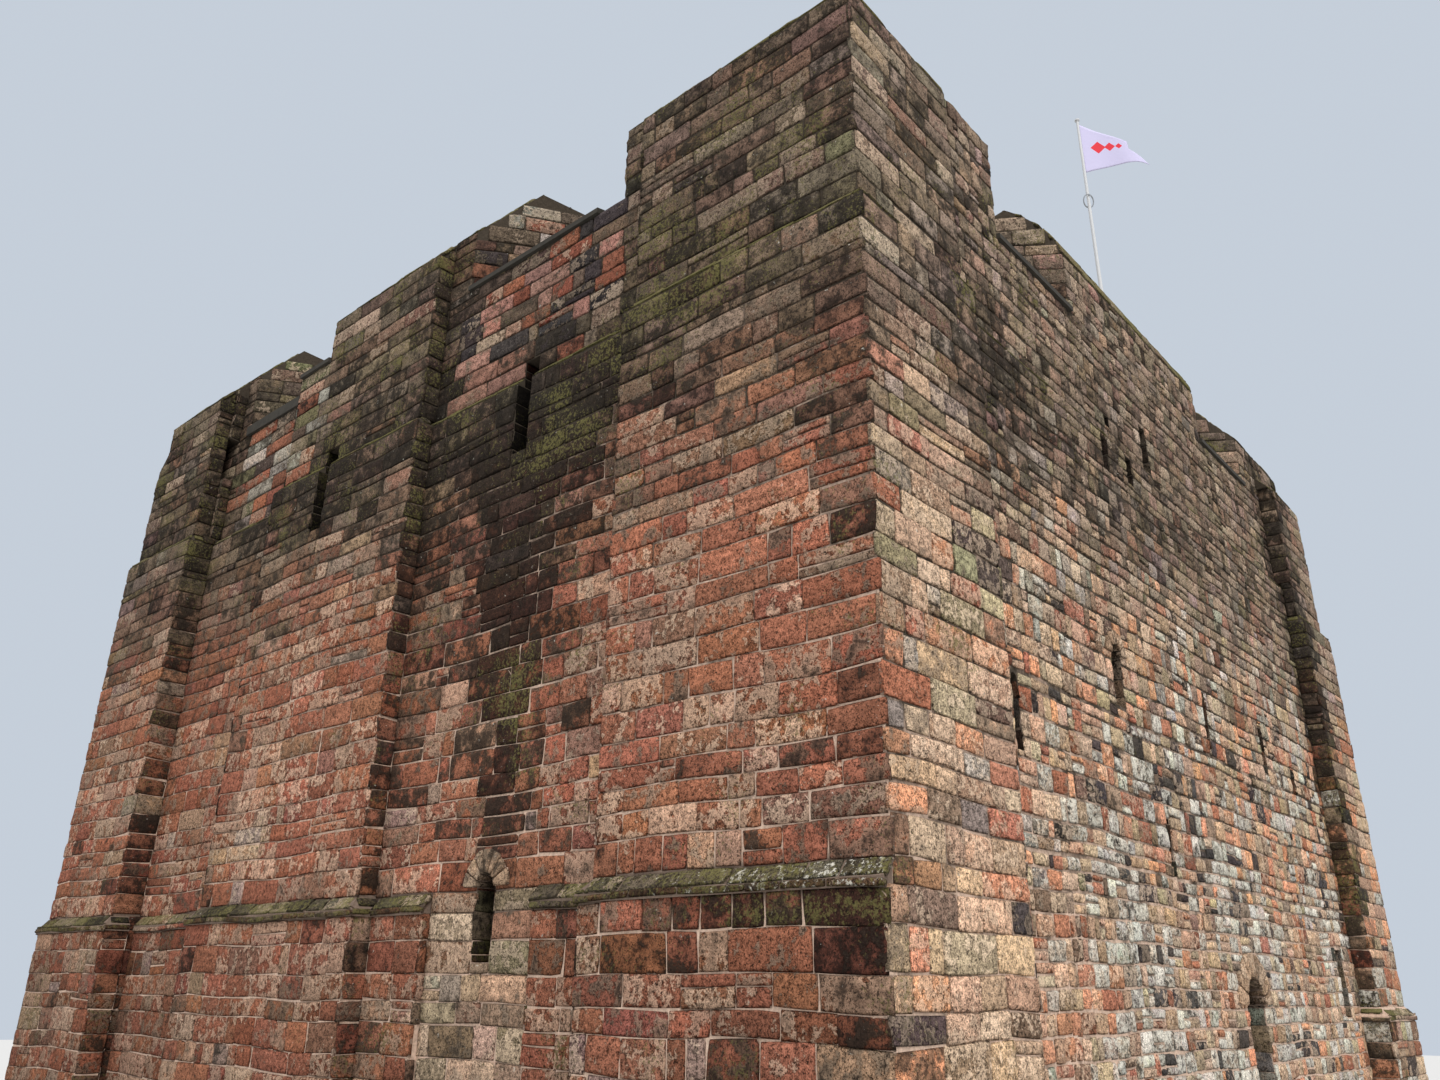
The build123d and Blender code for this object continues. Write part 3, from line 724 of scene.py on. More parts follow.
FACES = {
    "front": (np.array([1.0, 0.0, 0.0]), np.array([0.0, -1.0, 0.0])),
    "right": (np.array([0.0, 1.0, 0.0]), np.array([1.0, 0.0, 0.0])),
    "back": (np.array([-1.0, 0.0, 0.0]), np.array([0.0, 1.0, 0.0])),
    "left": (np.array([0.0, -1.0, 0.0]), np.array([-1.0, 0.0, 0.0])),
}

ARCHES = (
    Arch(("front", "back"), 11.27, 6.84, 0.43, 0.44, 0.36, 9),
    Arch(("left", "right"), 13.93, 8.21, 0.19, 0.32, 0.32, 7),
    Arch(("front", "back"), 7.135, 11.795, 0.175, 0.24, 0.36, 5),
)


@dataclass
class Curve:
    """The profile of a rounded top, as distances up it, out from the keep's middle and up from the ground."""

    outward: np.ndarray
    run: np.ndarray
    out: np.ndarray
    z: np.ndarray

    @classmethod
    def trace(cls, edge: np.ndarray, outward: np.ndarray) -> "Curve":
        """Follows the points of one of its ends, which are sorted by height."""
        out, z = edge @ outward, edge[:, 2]
        steps = np.hypot(np.diff(out), np.diff(z))
        return cls(outward, np.concatenate([[0.0], np.cumsum(steps)]), out, z)

    def bend(self, run: np.ndarray, proud: np.ndarray) -> np.ndarray:
        """Carries distances up the curve, and out from it, to places above the keep's middle line.

        Args:
            run: distances up the curve.
            proud: distances out from it.

        Returns:
            The places, one a row.
        """
        out, z = (np.interp(run, self.run, values) for values in (self.out, self.z))
        lean, rise = (np.interp(run, self.run, np.gradient(values, self.run)) for values in (self.out, self.z))
        return np.outer(out + rise * proud, self.outward) + np.outer(z - lean * proud, UP)


@dataclass
class Mason:
    """Lays courses of stone over the fabric's planes."""

    fabric: Fabric
    rng: np.random.Generator
    sorter: StoneSorter
    patterns: dict[Bond, list[Pattern]]
    heaps: dict[str, Heap] = field(default_factory=dict)
    lines: dict[Bond, list[float]] = field(default_factory=dict)

    # Heights at which a course starts, the top of the low pieces, and where in a band it has to be open
    LEVELS = (0.0, 6.53, 6.8, 7.9, 8.17, 9.7, 15.05, 15.2, 15.9, 16.05, 18.2, 18.5, 19.43, 20.9)
    LOW_Z = 8.0
    HEIGHTS = (0.04, 0.5, 0.96)
    # How far up the normal of a slope points
    SLOPE = 0.2
    # Depth behind the plane, and the least height and length of a row and half sizes of a stone
    SUNK = 0.03
    LEAST_BAND = 0.035
    LEAST_STONE = 0.05
    LEAST_HALF = (0.02, 0.012)
    # Open distance that is too little for a stone, and that darkens it with painted shade, tried this far from a
    # row's ends
    SLOT = 0.1
    CLOSE = 1.0
    NEAR = 0.03
    # Where a row's corner is tried, past its end and behind the plane
    OVERLAP = (0.04, -0.03)
    # Unevenness: corners out of square, courses out of line, joints and edges, and fronts
    SKEW = 0.009
    SWAY = 0.016
    JITTER = (0.6, 1.6)
    STANDS = (0.5, 1.25)
    # Stones that are halved: least height and share by bond; and share of short stones
    TALL = 0.24
    SPLIT = {Bond.ASHLAR: 0.05, Bond.RUBBLE: 0.2, Bond.COPING: 0.0, Bond.PAVING: 0.0}
    SHORT = 0.25
    # Arch stones: unevenness in radians, front, depth, how far they hang, and brightness behind the plane
    TILT = 0.06
    ARCH_PROUD = 0.05
    SOFFIT = 0.34
    LIP = 0.012
    SHADE = 0.12
    # Rounded tops: widest CAD strip, and course height
    STRIP = 0.08
    CAP = 0.36

    def set_out(self) -> None:
        """Fixes the heights of the courses, which run round the keep."""
        for bond in (Bond.ASHLAR, Bond.RUBBLE):
            lines = [0.0]
            for start, end in pairwise(self.LEVELS):
                courses = max(1, round((end - start) / middle(bond.course)))
                parts = self.rng.uniform(*bond.course, courses)
                lines += list(start + np.cumsum(parts) / parts.sum() * (end - start))
            self.lines[bond] = lines

    def lay_all(self) -> None:
        """Lays stones over every plane that shows."""
        for facet in self.fabric.facets:
            bond = self._bond(facet)
            if bond is not None:
                self._lay(facet, bond)

    def turn_arches(self) -> None:
        """Sets the arch stones over the round-headed openings."""
        for arch in ARCHES:
            reach = arch.radius + arch.ring / 2
            cuts = np.linspace(-math.pi / 2, math.pi / 2, arch.stones + 1)
            cuts[1:-1] += self.rng.normal(0, self.TILT, arch.stones - 1)
            for face in arch.faces:
                along, normal = FACES[face]
                start = -along * (HALF_X if along[0] else HALF_Y) + normal * (HALF_Y if along[0] else HALF_X)
                centre = start + along * arch.middle - normal * arch.depth + UP * arch.spring
                for low, high in pairwise(cuts):
                    self._arch_stone(arch, along, normal, centre, (low * reach, high * reach))

    def _arch_stone(
        self, arch: Arch, along: np.ndarray, normal: np.ndarray, centre: np.ndarray, span: Interval
    ) -> None:
        """Sets one stone of an arch, bent from a straight one."""
        half = ((span[1] - span[0] - Bond.ASHLAR.joint) / 2, arch.ring / 2 * self.rng.uniform(0.88, 1.0))
        pattern = self._pick(Bond.ASHLAR)
        shape = pattern.stretch(*half, self.ARCH_PROUD, self.SOFFIT, Bond.ASHLAR.edge)
        inwards = arch.ring / 2 - half[1] + self.LIP
        across, up = arch.turn(shape[:, 0] + middle(span), shape[:, 1] - inwards)
        points = centre + np.outer(across, along) + np.outer(up, UP) + np.outer(shape[:, 2], normal)
        look = self.sorter.look(points.mean(0), normal, self.CLOSE)
        look.tone, look.bloom = np.array(Tone.TAN.value) * self.rng.uniform(0.55, 0.85), 0.1
        look.light = np.where(shape[:, 2] < 0, self.SHADE, 1.0)
        self._heap(normal, points.mean(0)).add(pattern, points, shape[:, :2], half, look)

    def cap_curves(self) -> None:
        """Lays courses over the merlons' rounded tops, whose CAD faces are narrower than a stone."""
        strips = [facet for facet in self.fabric.facets if self._is_strip(facet)]
        for along, outward in (FACES["front"], FACES["back"]):
            points = [s.point(u, v) for s in strips if s.normal @ outward > 0 for t in s.triangles for u, v in t]
            points = np.unique(np.array(points).round(3), axis=0)
            points = points[np.argsort(points[:, 2])]
            first = points @ along < (points @ along).mean()
            ends = (points[first], points[~first])
            curve = Curve.trace(ends[0], outward)
            cuts = np.linspace(0, curve.run[-1], max(2, round(float(curve.run[-1]) / self.CAP)) + 1)
            for low, high in pairwise(cuts):
                level = np.interp(middle((low, high)), curve.run, curve.z)
                start, end = (float(np.interp(level, e[:, 2], e @ along)) for e in ends)
                for span in self._lengths(Bond.COPING, start, end, high - low):
                    self._cap_stone(curve, along, span, (low, high))

    def _cap_stone(self, curve: Curve, along: np.ndarray, span: Interval, band: Interval) -> None:
        """Sets one stone of a rounded top, bent to its curve."""
        bond = Bond.COPING
        half = ((span[1] - span[0] - bond.joint) / 2, (band[1] - band[0] - bond.joint) / 2)
        pattern = self._pick(bond)
        shape = pattern.stretch(*half, bond.proud * self.rng.uniform(0.5, 1.0), self.SUNK, bond.edge)
        points = curve.bend(shape[:, 1] + middle(band), shape[:, 2]) + np.outer(shape[:, 0] + middle(span), along)
        look = self.sorter.look(points.mean(0), UP, self.CLOSE)
        self._heap(UP, points.mean(0)).add(pattern, points, shape[:, :2], half, look)

    def _is_strip(self, facet: Facet) -> bool:
        """Whether a plane is one narrow strip of a rounded top."""
        low, high = facet.span()
        return 0.15 < facet.normal[2] < LEVEL and high - low < self.STRIP

    def _bond(self, facet: Facet) -> Bond | None:
        """Which stones a plane takes, or none where it is a floor inside the keep or part of a curve."""
        if self._is_strip(facet):
            return None
        low, high = facet.span()
        if facet.normal[2] > LEVEL:
            return Bond.PAVING if facet.offset > ROOF_Z - 0.1 and high - low > 0.3 else None
        if facet.normal[2] > self.SLOPE:
            return Bond.COPING
        broad = abs(facet.normal[1]) > 0.9 and 0.2 < HALF_Y - facet.offset < 0.6 and high - low > 3.0
        return Bond.RUBBLE if broad else Bond.ASHLAR

    def _outer(self, facet: Facet, spans: list[Interval], v: float) -> list[Interval]:
        """Leaves out of the spans what lies inside the keep, below its roof."""
        if v > ROOF_Z or facet.normal[2] > 0.1:
            return spans
        for axis, half, cross in ((0, HALF_X, HALF_Y), (1, HALF_Y, HALF_X)):
            if abs(facet.normal[axis]) > 0.999:
                if abs(facet.offset) > half - SKIN:
                    return spans
                return cut_spans(spans, [(SKIN - cross, cross - SKIN)])
        return []

    def _courses(self, facet: Facet, bond: Bond) -> list[Interval]:
        """Lowest and highest v of each course on a plane."""
        low, high = facet.span()
        if bond in self.lines and abs(facet.normal[2]) < 0.1:
            lines = [z for z in self.lines[bond] if low - 0.5 < z < high + 0.5]
        else:
            courses = max(1, round((high - low) / middle(bond.course)))
            lines = list(np.linspace(low, high, courses + 1))
        return [(a, b) for a, b in pairwise(lines) if b > low and a < high]

    def _lay(self, facet: Facet, bond: Bond) -> None:
        """Lays the courses of one plane, with part courses beside its level edges."""
        edges = facet.breaks()
        low, high = facet.span()
        for index, (bottom, top) in enumerate(self._courses(facet, bond)):
            inner = [e for e in edges if bottom + 0.005 < e < top - 0.005]
            cuts = [max(bottom, low)] + [e for e in inner if low < e < high] + [min(top, high)]
            bands = [(a, b) for a, b in pairwise(cuts) if b - a > self.LEAST_BAND]
            if not bands:
                continue
            spans = [self._outer(facet, self._band_spans(facet, band), band[0]) for band in bands]
            whole = reduce(common_spans, spans)
            for span in whole:
                self._row(facet, bond, span, (bands[0][0], bands[-1][1]), index)
            for band, open_part in zip(bands, spans):
                for span in cut_spans(open_part, whole):
                    self._row(facet, bond, span, band, index)

    def _band_spans(self, facet: Facet, band: Interval) -> list[Interval]:
        """Stretches that are open over the whole height of a band."""
        low, high = band
        return reduce(common_spans, (facet.open_spans(low + (high - low) * share) for share in self.HEIGHTS))

    def _row(self, facet: Facet, bond: Bond, span: Interval, band: Interval, index: int) -> None:
        """Lays one row of stones along a span.

        Args:
            facet: the plane.
            bond: how the stones are laid.
            span: the row's ends.
            band: its lowest and highest v.
            index: the course's number, which sets which face's stones pass the corner.
        """
        start, end = span
        height = band[1] - band[0]
        middle_v = middle(band)
        room = self._clear(facet, middle(span), middle_v)
        if room < self.CLOSE:
            room = max(room, *(self._clear(facet, u, middle_v) for u in (start + self.NEAR, end - self.NEAR)))
        if room < self.SLOT or end - start < self.LEAST_STONE:
            return
        proud = bond.proud * 0.3 if room < self.CLOSE else bond.proud
        over = proud if (index + (abs(facet.normal[0]) > 0.5)) % 2 else 0.0
        start -= over * self._turns(facet, start, -1.0, middle_v)
        end += over * self._turns(facet, end, 1.0, middle_v)
        for stone in self._lengths(bond, start, end, height):
            levels = list(band)
            if height > self.TALL and self.rng.random() < self.SPLIT[bond]:
                levels.insert(1, band[0] + height * self.rng.uniform(0.36, 0.64))
            for part in pairwise(levels):
                self._stone(facet, bond, stone, part, proud, room)

    def _turns(self, facet: Facet, u: float, way: float, v: float) -> float:
        """1 where the masonry turns an open corner beside a row's end, else 0."""
        beyond = facet.point(u + way * self.OVERLAP[0], v, self.OVERLAP[1])
        if self.fabric.is_inside(beyond):
            return 0.0
        return 1.0 if self.fabric.reach(Vector(beyond), Vector(facet.along * way)) > self.CLOSE else 0.0

    def _clear(self, facet: Facet, u: float, v: float) -> float:
        """Open distance in front of a place on a plane."""
        return self.fabric.reach(Vector(facet.point(u, v, 0.01)), Vector(facet.normal))

    def _lengths(self, bond: Bond, start: float, end: float, height: float) -> list[Interval]:
        """Splits a row into stones of uneven lengths."""
        low, high = bond.length
        cuts = [start]
        while end - cuts[-1] > high * 1.25:
            size = self.rng.uniform(low, high)
            if self.rng.random() < self.SHORT:
                size = self.rng.uniform(low * 0.6, low * 1.2)
            cuts.append(cuts[-1] + max(size, height * 0.55))
        left = end - cuts[-1]
        if left > high * 0.95:
            cuts.append(cuts[-1] + left * self.rng.uniform(0.4, 0.6))
        cuts.append(end)
        return list(pairwise(cuts))

    def _stone(
        self, facet: Facet, bond: Bond, span: Interval, band: Interval, proud: float, room: float
    ) -> None:
        """Sets one stone, a little out of square and out of line."""
        gap = bond.joint * self.rng.uniform(*self.JITTER)
        half_width = (span[1] - span[0] - gap) / 2
        half_height = (band[1] - band[0] - gap) / 2
        if half_width < max(self.LEAST_HALF[0], half_height * 0.3) or half_height < self.LEAST_HALF[1]:
            return
        rim = min(bond.edge * self.rng.uniform(*self.JITTER), half_width * 0.5, half_height * 0.5)
        stands = proud * self.rng.uniform(*self.STANDS)
        pattern = self._pick(bond)
        shape = pattern.stretch(half_width, half_height, stands, self.SUNK, min(rim, stands * 0.9))
        flat = shape[:, :2].copy()
        skew = self.rng.normal(0, min(self.SKEW, half_height * 0.06), (2, 2, 2))
        across = (shape[:, 0] / half_width + 1) / 2
        up = (shape[:, 1] / half_height + 1) / 2
        for i in (0, 1):
            for j in (0, 1):
                weight = (across if i else 1 - across) * (up if j else 1 - up)
                shape[:, :2] += weight[:, None] * skew[i, j]
        if room > self.CLOSE and abs(facet.normal[2]) < 0.1:
            u, v = middle(span) + shape[:, 0], middle(band) + shape[:, 1]
            shape[:, 1] += self.SWAY * (np.sin(1.1 * u + 0.7 * v) + 0.7 * np.sin(2.6 * u - 1.3 * v))
        centre = facet.point(middle(span), middle(band))
        points = centre + shape @ np.stack([facet.along, facet.up, facet.normal])
        look = self.sorter.look(centre, facet.normal, room)
        self._heap(facet.normal, centre).add(pattern, points, flat, (half_width, half_height), look)

    def _pick(self, bond: Bond) -> Pattern:
        """Draws one of a bond's patterns."""
        return self.patterns[bond][int(self.rng.integers(len(self.patterns[bond])))]

    def _heap(self, normal: np.ndarray, centre: np.ndarray) -> Heap:
        """The joined piece that a stone belongs to."""
        place = place_of(centre)
        if normal[2] > self.SLOPE or (place.height > ROOF_Z and place.depth > SKIN):
            name = "parapet_inner_stones"
        else:
            level = "low" if place.height < self.LOW_Z else "middle" if place.height < SET_OFF_Z else "top"
            name = f"{place.face}_{level}_stones"
        return self.heaps.setdefault(name, Heap(name))


def operator(operation: str, swapped: bool = False) -> Callable[["Value", object], "Value"]:
    """Makes a method that adds one Math node.

    Args:
        operation: what the node does.
        swapped: whether the operands change places, as in a reflected operator.

    Returns:
        The method.
    """

    def method(self: "Value", other: object = 0.0) -> "Value":
        """Adds the node."""
        first, second = (other, self) if swapped else (self, other)
        return self.graph.node("Math", {"operation": operation}, {0: first, 1: second})

    return method


class Value:
    """A shader socket that can be used in sums."""

    def __init__(self, graph: "Graph", socket: bpy.types.NodeSocket) -> None:
        """Keeps the graph and the socket."""
        self.graph = graph
        self.socket = socket

    __add__ = operator("ADD")
    __radd__ = operator("ADD", swapped=True)
    __sub__ = operator("SUBTRACT")
    __rsub__ = operator("SUBTRACT", swapped=True)
    __mul__ = operator("MULTIPLY")
    __rmul__ = operator("MULTIPLY", swapped=True)
    largest = operator("MAXIMUM")
    smallest = operator("MINIMUM")
    size = operator("ABSOLUTE")
    power = operator("POWER")

    def between(self, low: float, high: float) -> "Value":
        """Smooth step from 0 at low to 1 at high."""
        return self.graph.node(
            "MapRange", {"interpolation_type": "SMOOTHSTEP"}, {"Value": self, "From Min": low, "From Max": high}
        )


class Graph:
    """A node tree, with short ways to add to it."""

    def __init__(self, tree: bpy.types.NodeTree) -> None:
        """Empties the tree."""
        self.tree = tree
        tree.nodes.clear()

    def node(self, kind: str, settings: dict, values: dict, out: object = 0) -> Value:
        """Adds a shader node.

        Args:
            kind: the node's type, without the words that all types start with.
            settings: its settings.
            values: numbers or links by socket name or number.
            out: the output that is used.

        Returns:
            That output.
        """
        made = self.tree.nodes.new(f"ShaderNode{kind}")
        for name, value in settings.items():
            setattr(made, name, value)
        self.fill(made, values)
        return Value(self, made.outputs[out])

    def fill(self, made: bpy.types.Node, values: dict) -> None:
        """Sets or links a node's sockets."""
        for name, value in values.items():
            if isinstance(value, Value):
                self.tree.links.new(value.socket, made.inputs[name])
            else:
                made.inputs[name].default_value = value

    def vector(self, operation: str, first: object, second: object = (0.0, 0.0, 0.0), **more: object) -> Value:
        """Adds one Vector Math node."""
        return self.node("VectorMath", {"operation": operation}, {0: first, 1: second, **more})

    def split(self, vector: Value) -> tuple[Value, Value, Value]:
        """Splits a vector into its three parts."""
        made = self.node("SeparateXYZ", {}, {0: vector}).socket.node
        return tuple(Value(self, made.outputs[i]) for i in range(3))


class Surface(Graph):
    """A material's node tree."""

    def __init__(self, name: str) -> None:
        """Starts an empty material with its output and shader."""
        self.material = bpy.data.materials.new(name)
        self.material.use_nodes = True
        super().__init__(self.material.node_tree)
        output = self.tree.nodes.new("ShaderNodeOutputMaterial")
        self.shader = self.tree.nodes.new("ShaderNodeBsdfPrincipled")
        self.tree.links.new(self.shader.outputs["BSDF"], output.inputs["Surface"])
        self.place = self.node("TexCoord", {}, {}, "Object")

    def noise(self, scale: float, detail: float, rough: float, place: Value | None = None) -> Value:
        """Soft noise about 0.5."""
        values = {"Vector": place or self.place, "Scale": scale, "Detail": detail, "Roughness": rough}
        return self.node("TexNoise", {}, values)

    def mix(self, share: object, first: object, second: object) -> Value:
        """Mixes two colours."""
        return self.node("Mix", {"data_type": "RGBA"}, {0: share, 6: first, 7: second}, 2)

    def colour(self, values: Colour) -> Value:
        """One fixed colour."""
        made = self.node("RGB", {}, {})
        made.socket.default_value = rgba(values)
        return made

    def scaled(self, colour: Value, amount: object) -> Value:
        """Makes a colour lighter or darker."""
        return self.vector("SCALE", colour, Scale=amount)

    def attribute(self, name: str, out: str) -> Value:
        """Reads one of the piece's own attributes."""
        return self.node("Attribute", {"attribute_name": name}, {}, out)

    def finish(
        self, colour: Value, rough: float, shine: float, height: Value, relief: Interval, metallic: float = 0.0
    ) -> bpy.types.Material:
        """Fills in the shader.

        Args:
            colour: base colour.
            rough: roughness.
            shine: how strongly it reflects at a glance.
            height: what stands out.
            relief: how much of it is felt, and how far it stands out in metres.
            metallic: 1 where it is bare metal.

        Returns:
            The material.
        """
        normal = self.node("Bump", {}, {"Height": height, "Strength": relief[0], "Distance": relief[1]}, "Normal")
        self.fill(self.shader, {
            "Base Color": colour, "Roughness": rough, "Specular IOR Level": shine, "Normal": normal,
            "Metallic": metallic,
        })
        return self.material


def rgba(colour: Colour) -> tuple[float, float, float, float]:
    """Adds a full alpha."""
    return (*colour, 1.0)


@dataclass(frozen=True)
class Joint:
    """Lime mortar: pale low down, dark and mossy above, darker between the front's small stones, partly as
    painted shade there.
    """

    pale: Colour = (0.6, 0.44, 0.34)
    dark: Colour = (0.06, 0.048, 0.036)
    change: Interval = (9.0, 15.0)
    moulding: float = STRING_Z - MOULDING
    drift: float = 16.0
    front_rise: float = 3.0

    def colour(self, graph: Surface, fine: Value) -> Value:
        """The mortar's colour at every place.

        Args:
            graph: the material that it goes into.
            fine: small noise that is also used elsewhere.

        Returns:
            The colour.
        """
        x, y, z = graph.split(graph.place)
        broad = graph.noise(2.2, 4.0, 0.7)
        # On the front the mortar turns dark lower down, partly as painted shade between the small stones
        front = ((HALF_X - x.size()) - (HALF_Y - y.size())).between(-0.01, 0.01)
        mask = (z + (broad - 0.5) * self.drift + front * self.front_rise).between(*self.change)
        band = (1 - (z - self.moulding).size().between(0.13, 0.3)) * (1 - front)
        light = (0.25 + 1.5 * fine) * (1 - 0.7 * band)
        return graph.scaled(graph.mix(mask, rgba(self.pale), rgba(self.dark)), light)


@dataclass(frozen=True)
class SandstoneFinish:
    """Weathered sandstone: a stone's own tone, flaked through a dull skin, with crust, moss and lichen, and
    painted shade along its foot, its outline and its flakes' edges.

    Each noise is given by its scale, detail and roughness, and each mask by where it starts and is full.
    Own is how far a stone's colour moves its pattern, and layers how much the beds are flattened.
    """

    skin: Colour = (0.48, 0.365, 0.265)
    aged: Colour = (0.14, 0.122, 0.082)
    crust: Colour = (0.013, 0.011, 0.01)
    moss: Colour = (0.155, 0.14, 0.052)
    lichen: Colour = (0.68, 0.65, 0.56)
    pit: Colour = (0.02, 0.015, 0.012)
    own: Triple = (61.0, 83.0, 47.0)
    layers: Triple = (1.0, 1.0, 6.0)
    broad: Triple = (0.8, 4.0, 0.6)
    patch: Triple = (4.5, 5.0, 0.64)
    spots: Triple = (15.0, 4.0, 0.68)
    grain: Triple = (55.0, 3.0, 0.75)
    beds: Triple = (3.5, 4.0, 0.6)
    cover: Triple = (11.0, 4.0, 0.75)
    speckle: Triple = (21.0, 4.0, 0.75)
    pits: Triple = (34.0, 3.0, 0.6)
    flaked: Interval = (0.5, 0.55)
    crusted: Interval = (0.4, 0.8)
    bloomed: Interval = (0.55, 0.78)
    blotted: Interval = (0.4, 0.44)
    mossed: Interval = (0.42, 0.72)
    pitted: Interval = (0.09, 0.16)
    corner: float = 0.045
    tight: float = 0.013
    relief: Interval = (1.0, 0.055)

    def build(self, name: str) -> bpy.types.Material:
        """Makes the material."""
        graph = Surface(name)
        tone = graph.attribute("stone_tone", "Color")
        bloom = graph.attribute("stone_tone", "Alpha")
        crust, moss, worn = graph.split(graph.attribute("stone_wear", "Vector"))
        own = graph.node("VectorMath", {"operation": "MULTIPLY_ADD"}, {0: tone, 1: self.own, 2: graph.place})
        broad, patch, spots = (graph.noise(*noise) for noise in (self.broad, self.patch, self.spots))
        grain = graph.noise(*self.grain, own)
        beds = graph.noise(*self.beds, graph.vector("MULTIPLY", own, self.layers))
        edge, low = self._edges(graph, patch, spots)
        flake = patch + (spots - 0.5) * 0.35 + (broad - 0.5) * 0.4 + (worn - 0.5) * 0.35
        skin_mask = flake.between(*self.flaked)
        dull = graph.mix(crust.between(0.3, 0.6) * 0.8, rgba(self.skin), rgba(self.aged))
        dull = graph.scaled(graph.mix(0.3, dull, tone), (1.2 - crust * 0.6).largest(0.3))
        colour = graph.mix(skin_mask * (0.45 + 0.6 * beds), graph.scaled(tone, 0.55 + 0.9 * beds), dull)
        shade = 0.1 + 0.9 * spots.between(0.34, 0.66) + 0.95 * grain.between(0.38, 0.62)
        # Painted shadow: a thin dark line along the edges of the flakes
        flake_edge_shadow = 1 - (flake - 0.505).size().between(0.0, 0.02)
        colour = graph.scaled(colour, shade * (1 - flake_edge_shadow * 0.4))
        cover, speckle = graph.noise(*self.cover), graph.noise(*self.speckle)
        crusted = crust * 1.1 + (spots - 0.5) * 1.8 + (patch - 0.5) * 1.8 + (grain - 0.5) * 1.4
        bloomed = bloom * 0.85 + (cover - 0.5) * 2.4 + (spots - 0.5) * 1.4
        blotted = bloom * (patch * 0.5 + spots * 0.5)
        mossed = moss * 0.9 + (speckle - 0.5) * 2.6 + (broad - 0.5) * 2.0
        lichen = graph.scaled(graph.colour(self.lichen), 0.6 + 0.8 * grain)
        green = graph.scaled(graph.colour(self.moss), 0.1 + 1.9 * grain)
        pit_mask = (0.5 - graph.noise(*self.pits, own)).between(*self.pitted)
        for mask, strength, over in (
            (crusted.between(*self.crusted), 0.88, rgba(self.crust)),
            (bloomed.between(*self.bloomed), 0.8, lichen),
            (blotted.between(*self.blotted), 0.85, rgba(self.crust)),
            (mossed.between(*self.mossed), 0.75, green),
            (pit_mask, 0.8, rgba(self.pit)),
        ):
            colour = graph.mix(mask * strength, colour, over)
        # Painted shade: each stone darkened along its foot and round its outline
        colour = graph.scaled(colour, 0.5 + 0.5 * low.between(-0.005, 0.03) * edge.between(-0.004, 0.022))
        colour = graph.mix(edge.between(0.001, 0.012), Joint().colour(graph, speckle), colour)
        colour = graph.scaled(colour, graph.attribute("stone_light", "Fac"))
        height = patch * 0.4 + spots * 0.3 + grain * 0.12 + beds * 0.12 + skin_mask * 0.12 - pit_mask * 0.12
        return graph.finish(colour, 0.93, 0.05, height + edge.between(-0.006, 0.03) * 0.5, self.relief)

    def _edges(self, graph: Surface, patch: Value, spots: Value) -> tuple[Value, Value]:
        """Ragged distances from a stone's rounded outline and from its foot, in metres."""
        across, up, half_width = graph.split(graph.attribute("stone_shape", "Color"))
        half_height = graph.attribute("stone_shape", "Alpha")
        ragged = (patch - 0.5) * 0.07 + (spots - 0.5) * 0.05
        side = across.size() - half_width + self.corner
        top = up.size() - half_height + self.corner
        outside = (side.largest(0.0).power(2.0) + top.largest(0.0).power(2.0)).power(0.5)
        edge = self.corner - outside - side.largest(top).smallest(0.0)
        return edge + ragged + self.tight, up + half_height + ragged


@dataclass(frozen=True)
class MortarFinish:
    """The wall between and behind the stones: mortar, and gloom inside the openings."""

    open_depth: Interval = (0.7, 0.8)
    gloom: float = 0.12

    def build(self, name: str) -> bpy.types.Material:
        """Makes the material."""
        graph = Surface(name)
        x, y, z = graph.split(graph.place)
        grain = graph.noise(21.0, 4.0, 0.75)
        depth = (HALF_X - x.size()).smallest(HALF_Y - y.size())
        shade = depth.between(*self.open_depth) * (1 - z.between(ROOF_Z - 0.1, ROOF_Z))
        colour = graph.scaled(Joint().colour(graph, grain), 1 - shade * (1 - self.gloom))
        return graph.finish(colour, 0.95, 0.05, grain, (0.8, 0.02))


@dataclass(frozen=True)
class PlainFinish:
    """A plain surface with a little mottling, laid in flags or boards where it has their size."""

    colour: Colour
    roughness: float = 0.8
    metallic: float = 0.0
    mottle: float = 0.3
    scale: float = 12.0
    relief: float = 0.002
    laid: Interval | None = None

    def build(self, name: str) -> bpy.types.Material:
        """Makes the material."""
        graph = Surface(name)
        spots = graph.noise(self.scale, 5.0, 0.65)
        colour = graph.scaled(graph.colour(self.colour), 1 - self.mottle / 2 + spots * self.mottle)
        if self.laid:
            tints = {"Color1": (1.0, 1.0, 1.0), "Color2": (0.62, 0.64, 0.66), "Mortar": (0.25, 0.25, 0.25)}
            sizes = {"Scale": 1.0, "Mortar Size": 0.008, "Brick Width": self.laid[0], "Row Height": self.laid[1]}
            tints = {part: rgba(tint) for part, tint in tints.items()}
            pattern = graph.node("TexBrick", {"offset": 0.43}, {"Vector": graph.place, **sizes, **tints})
            colour = graph.vector("MULTIPLY", colour, pattern)
        return graph.finish(colour, self.roughness, 0.3, spots, (0.5, self.relief), self.metallic)


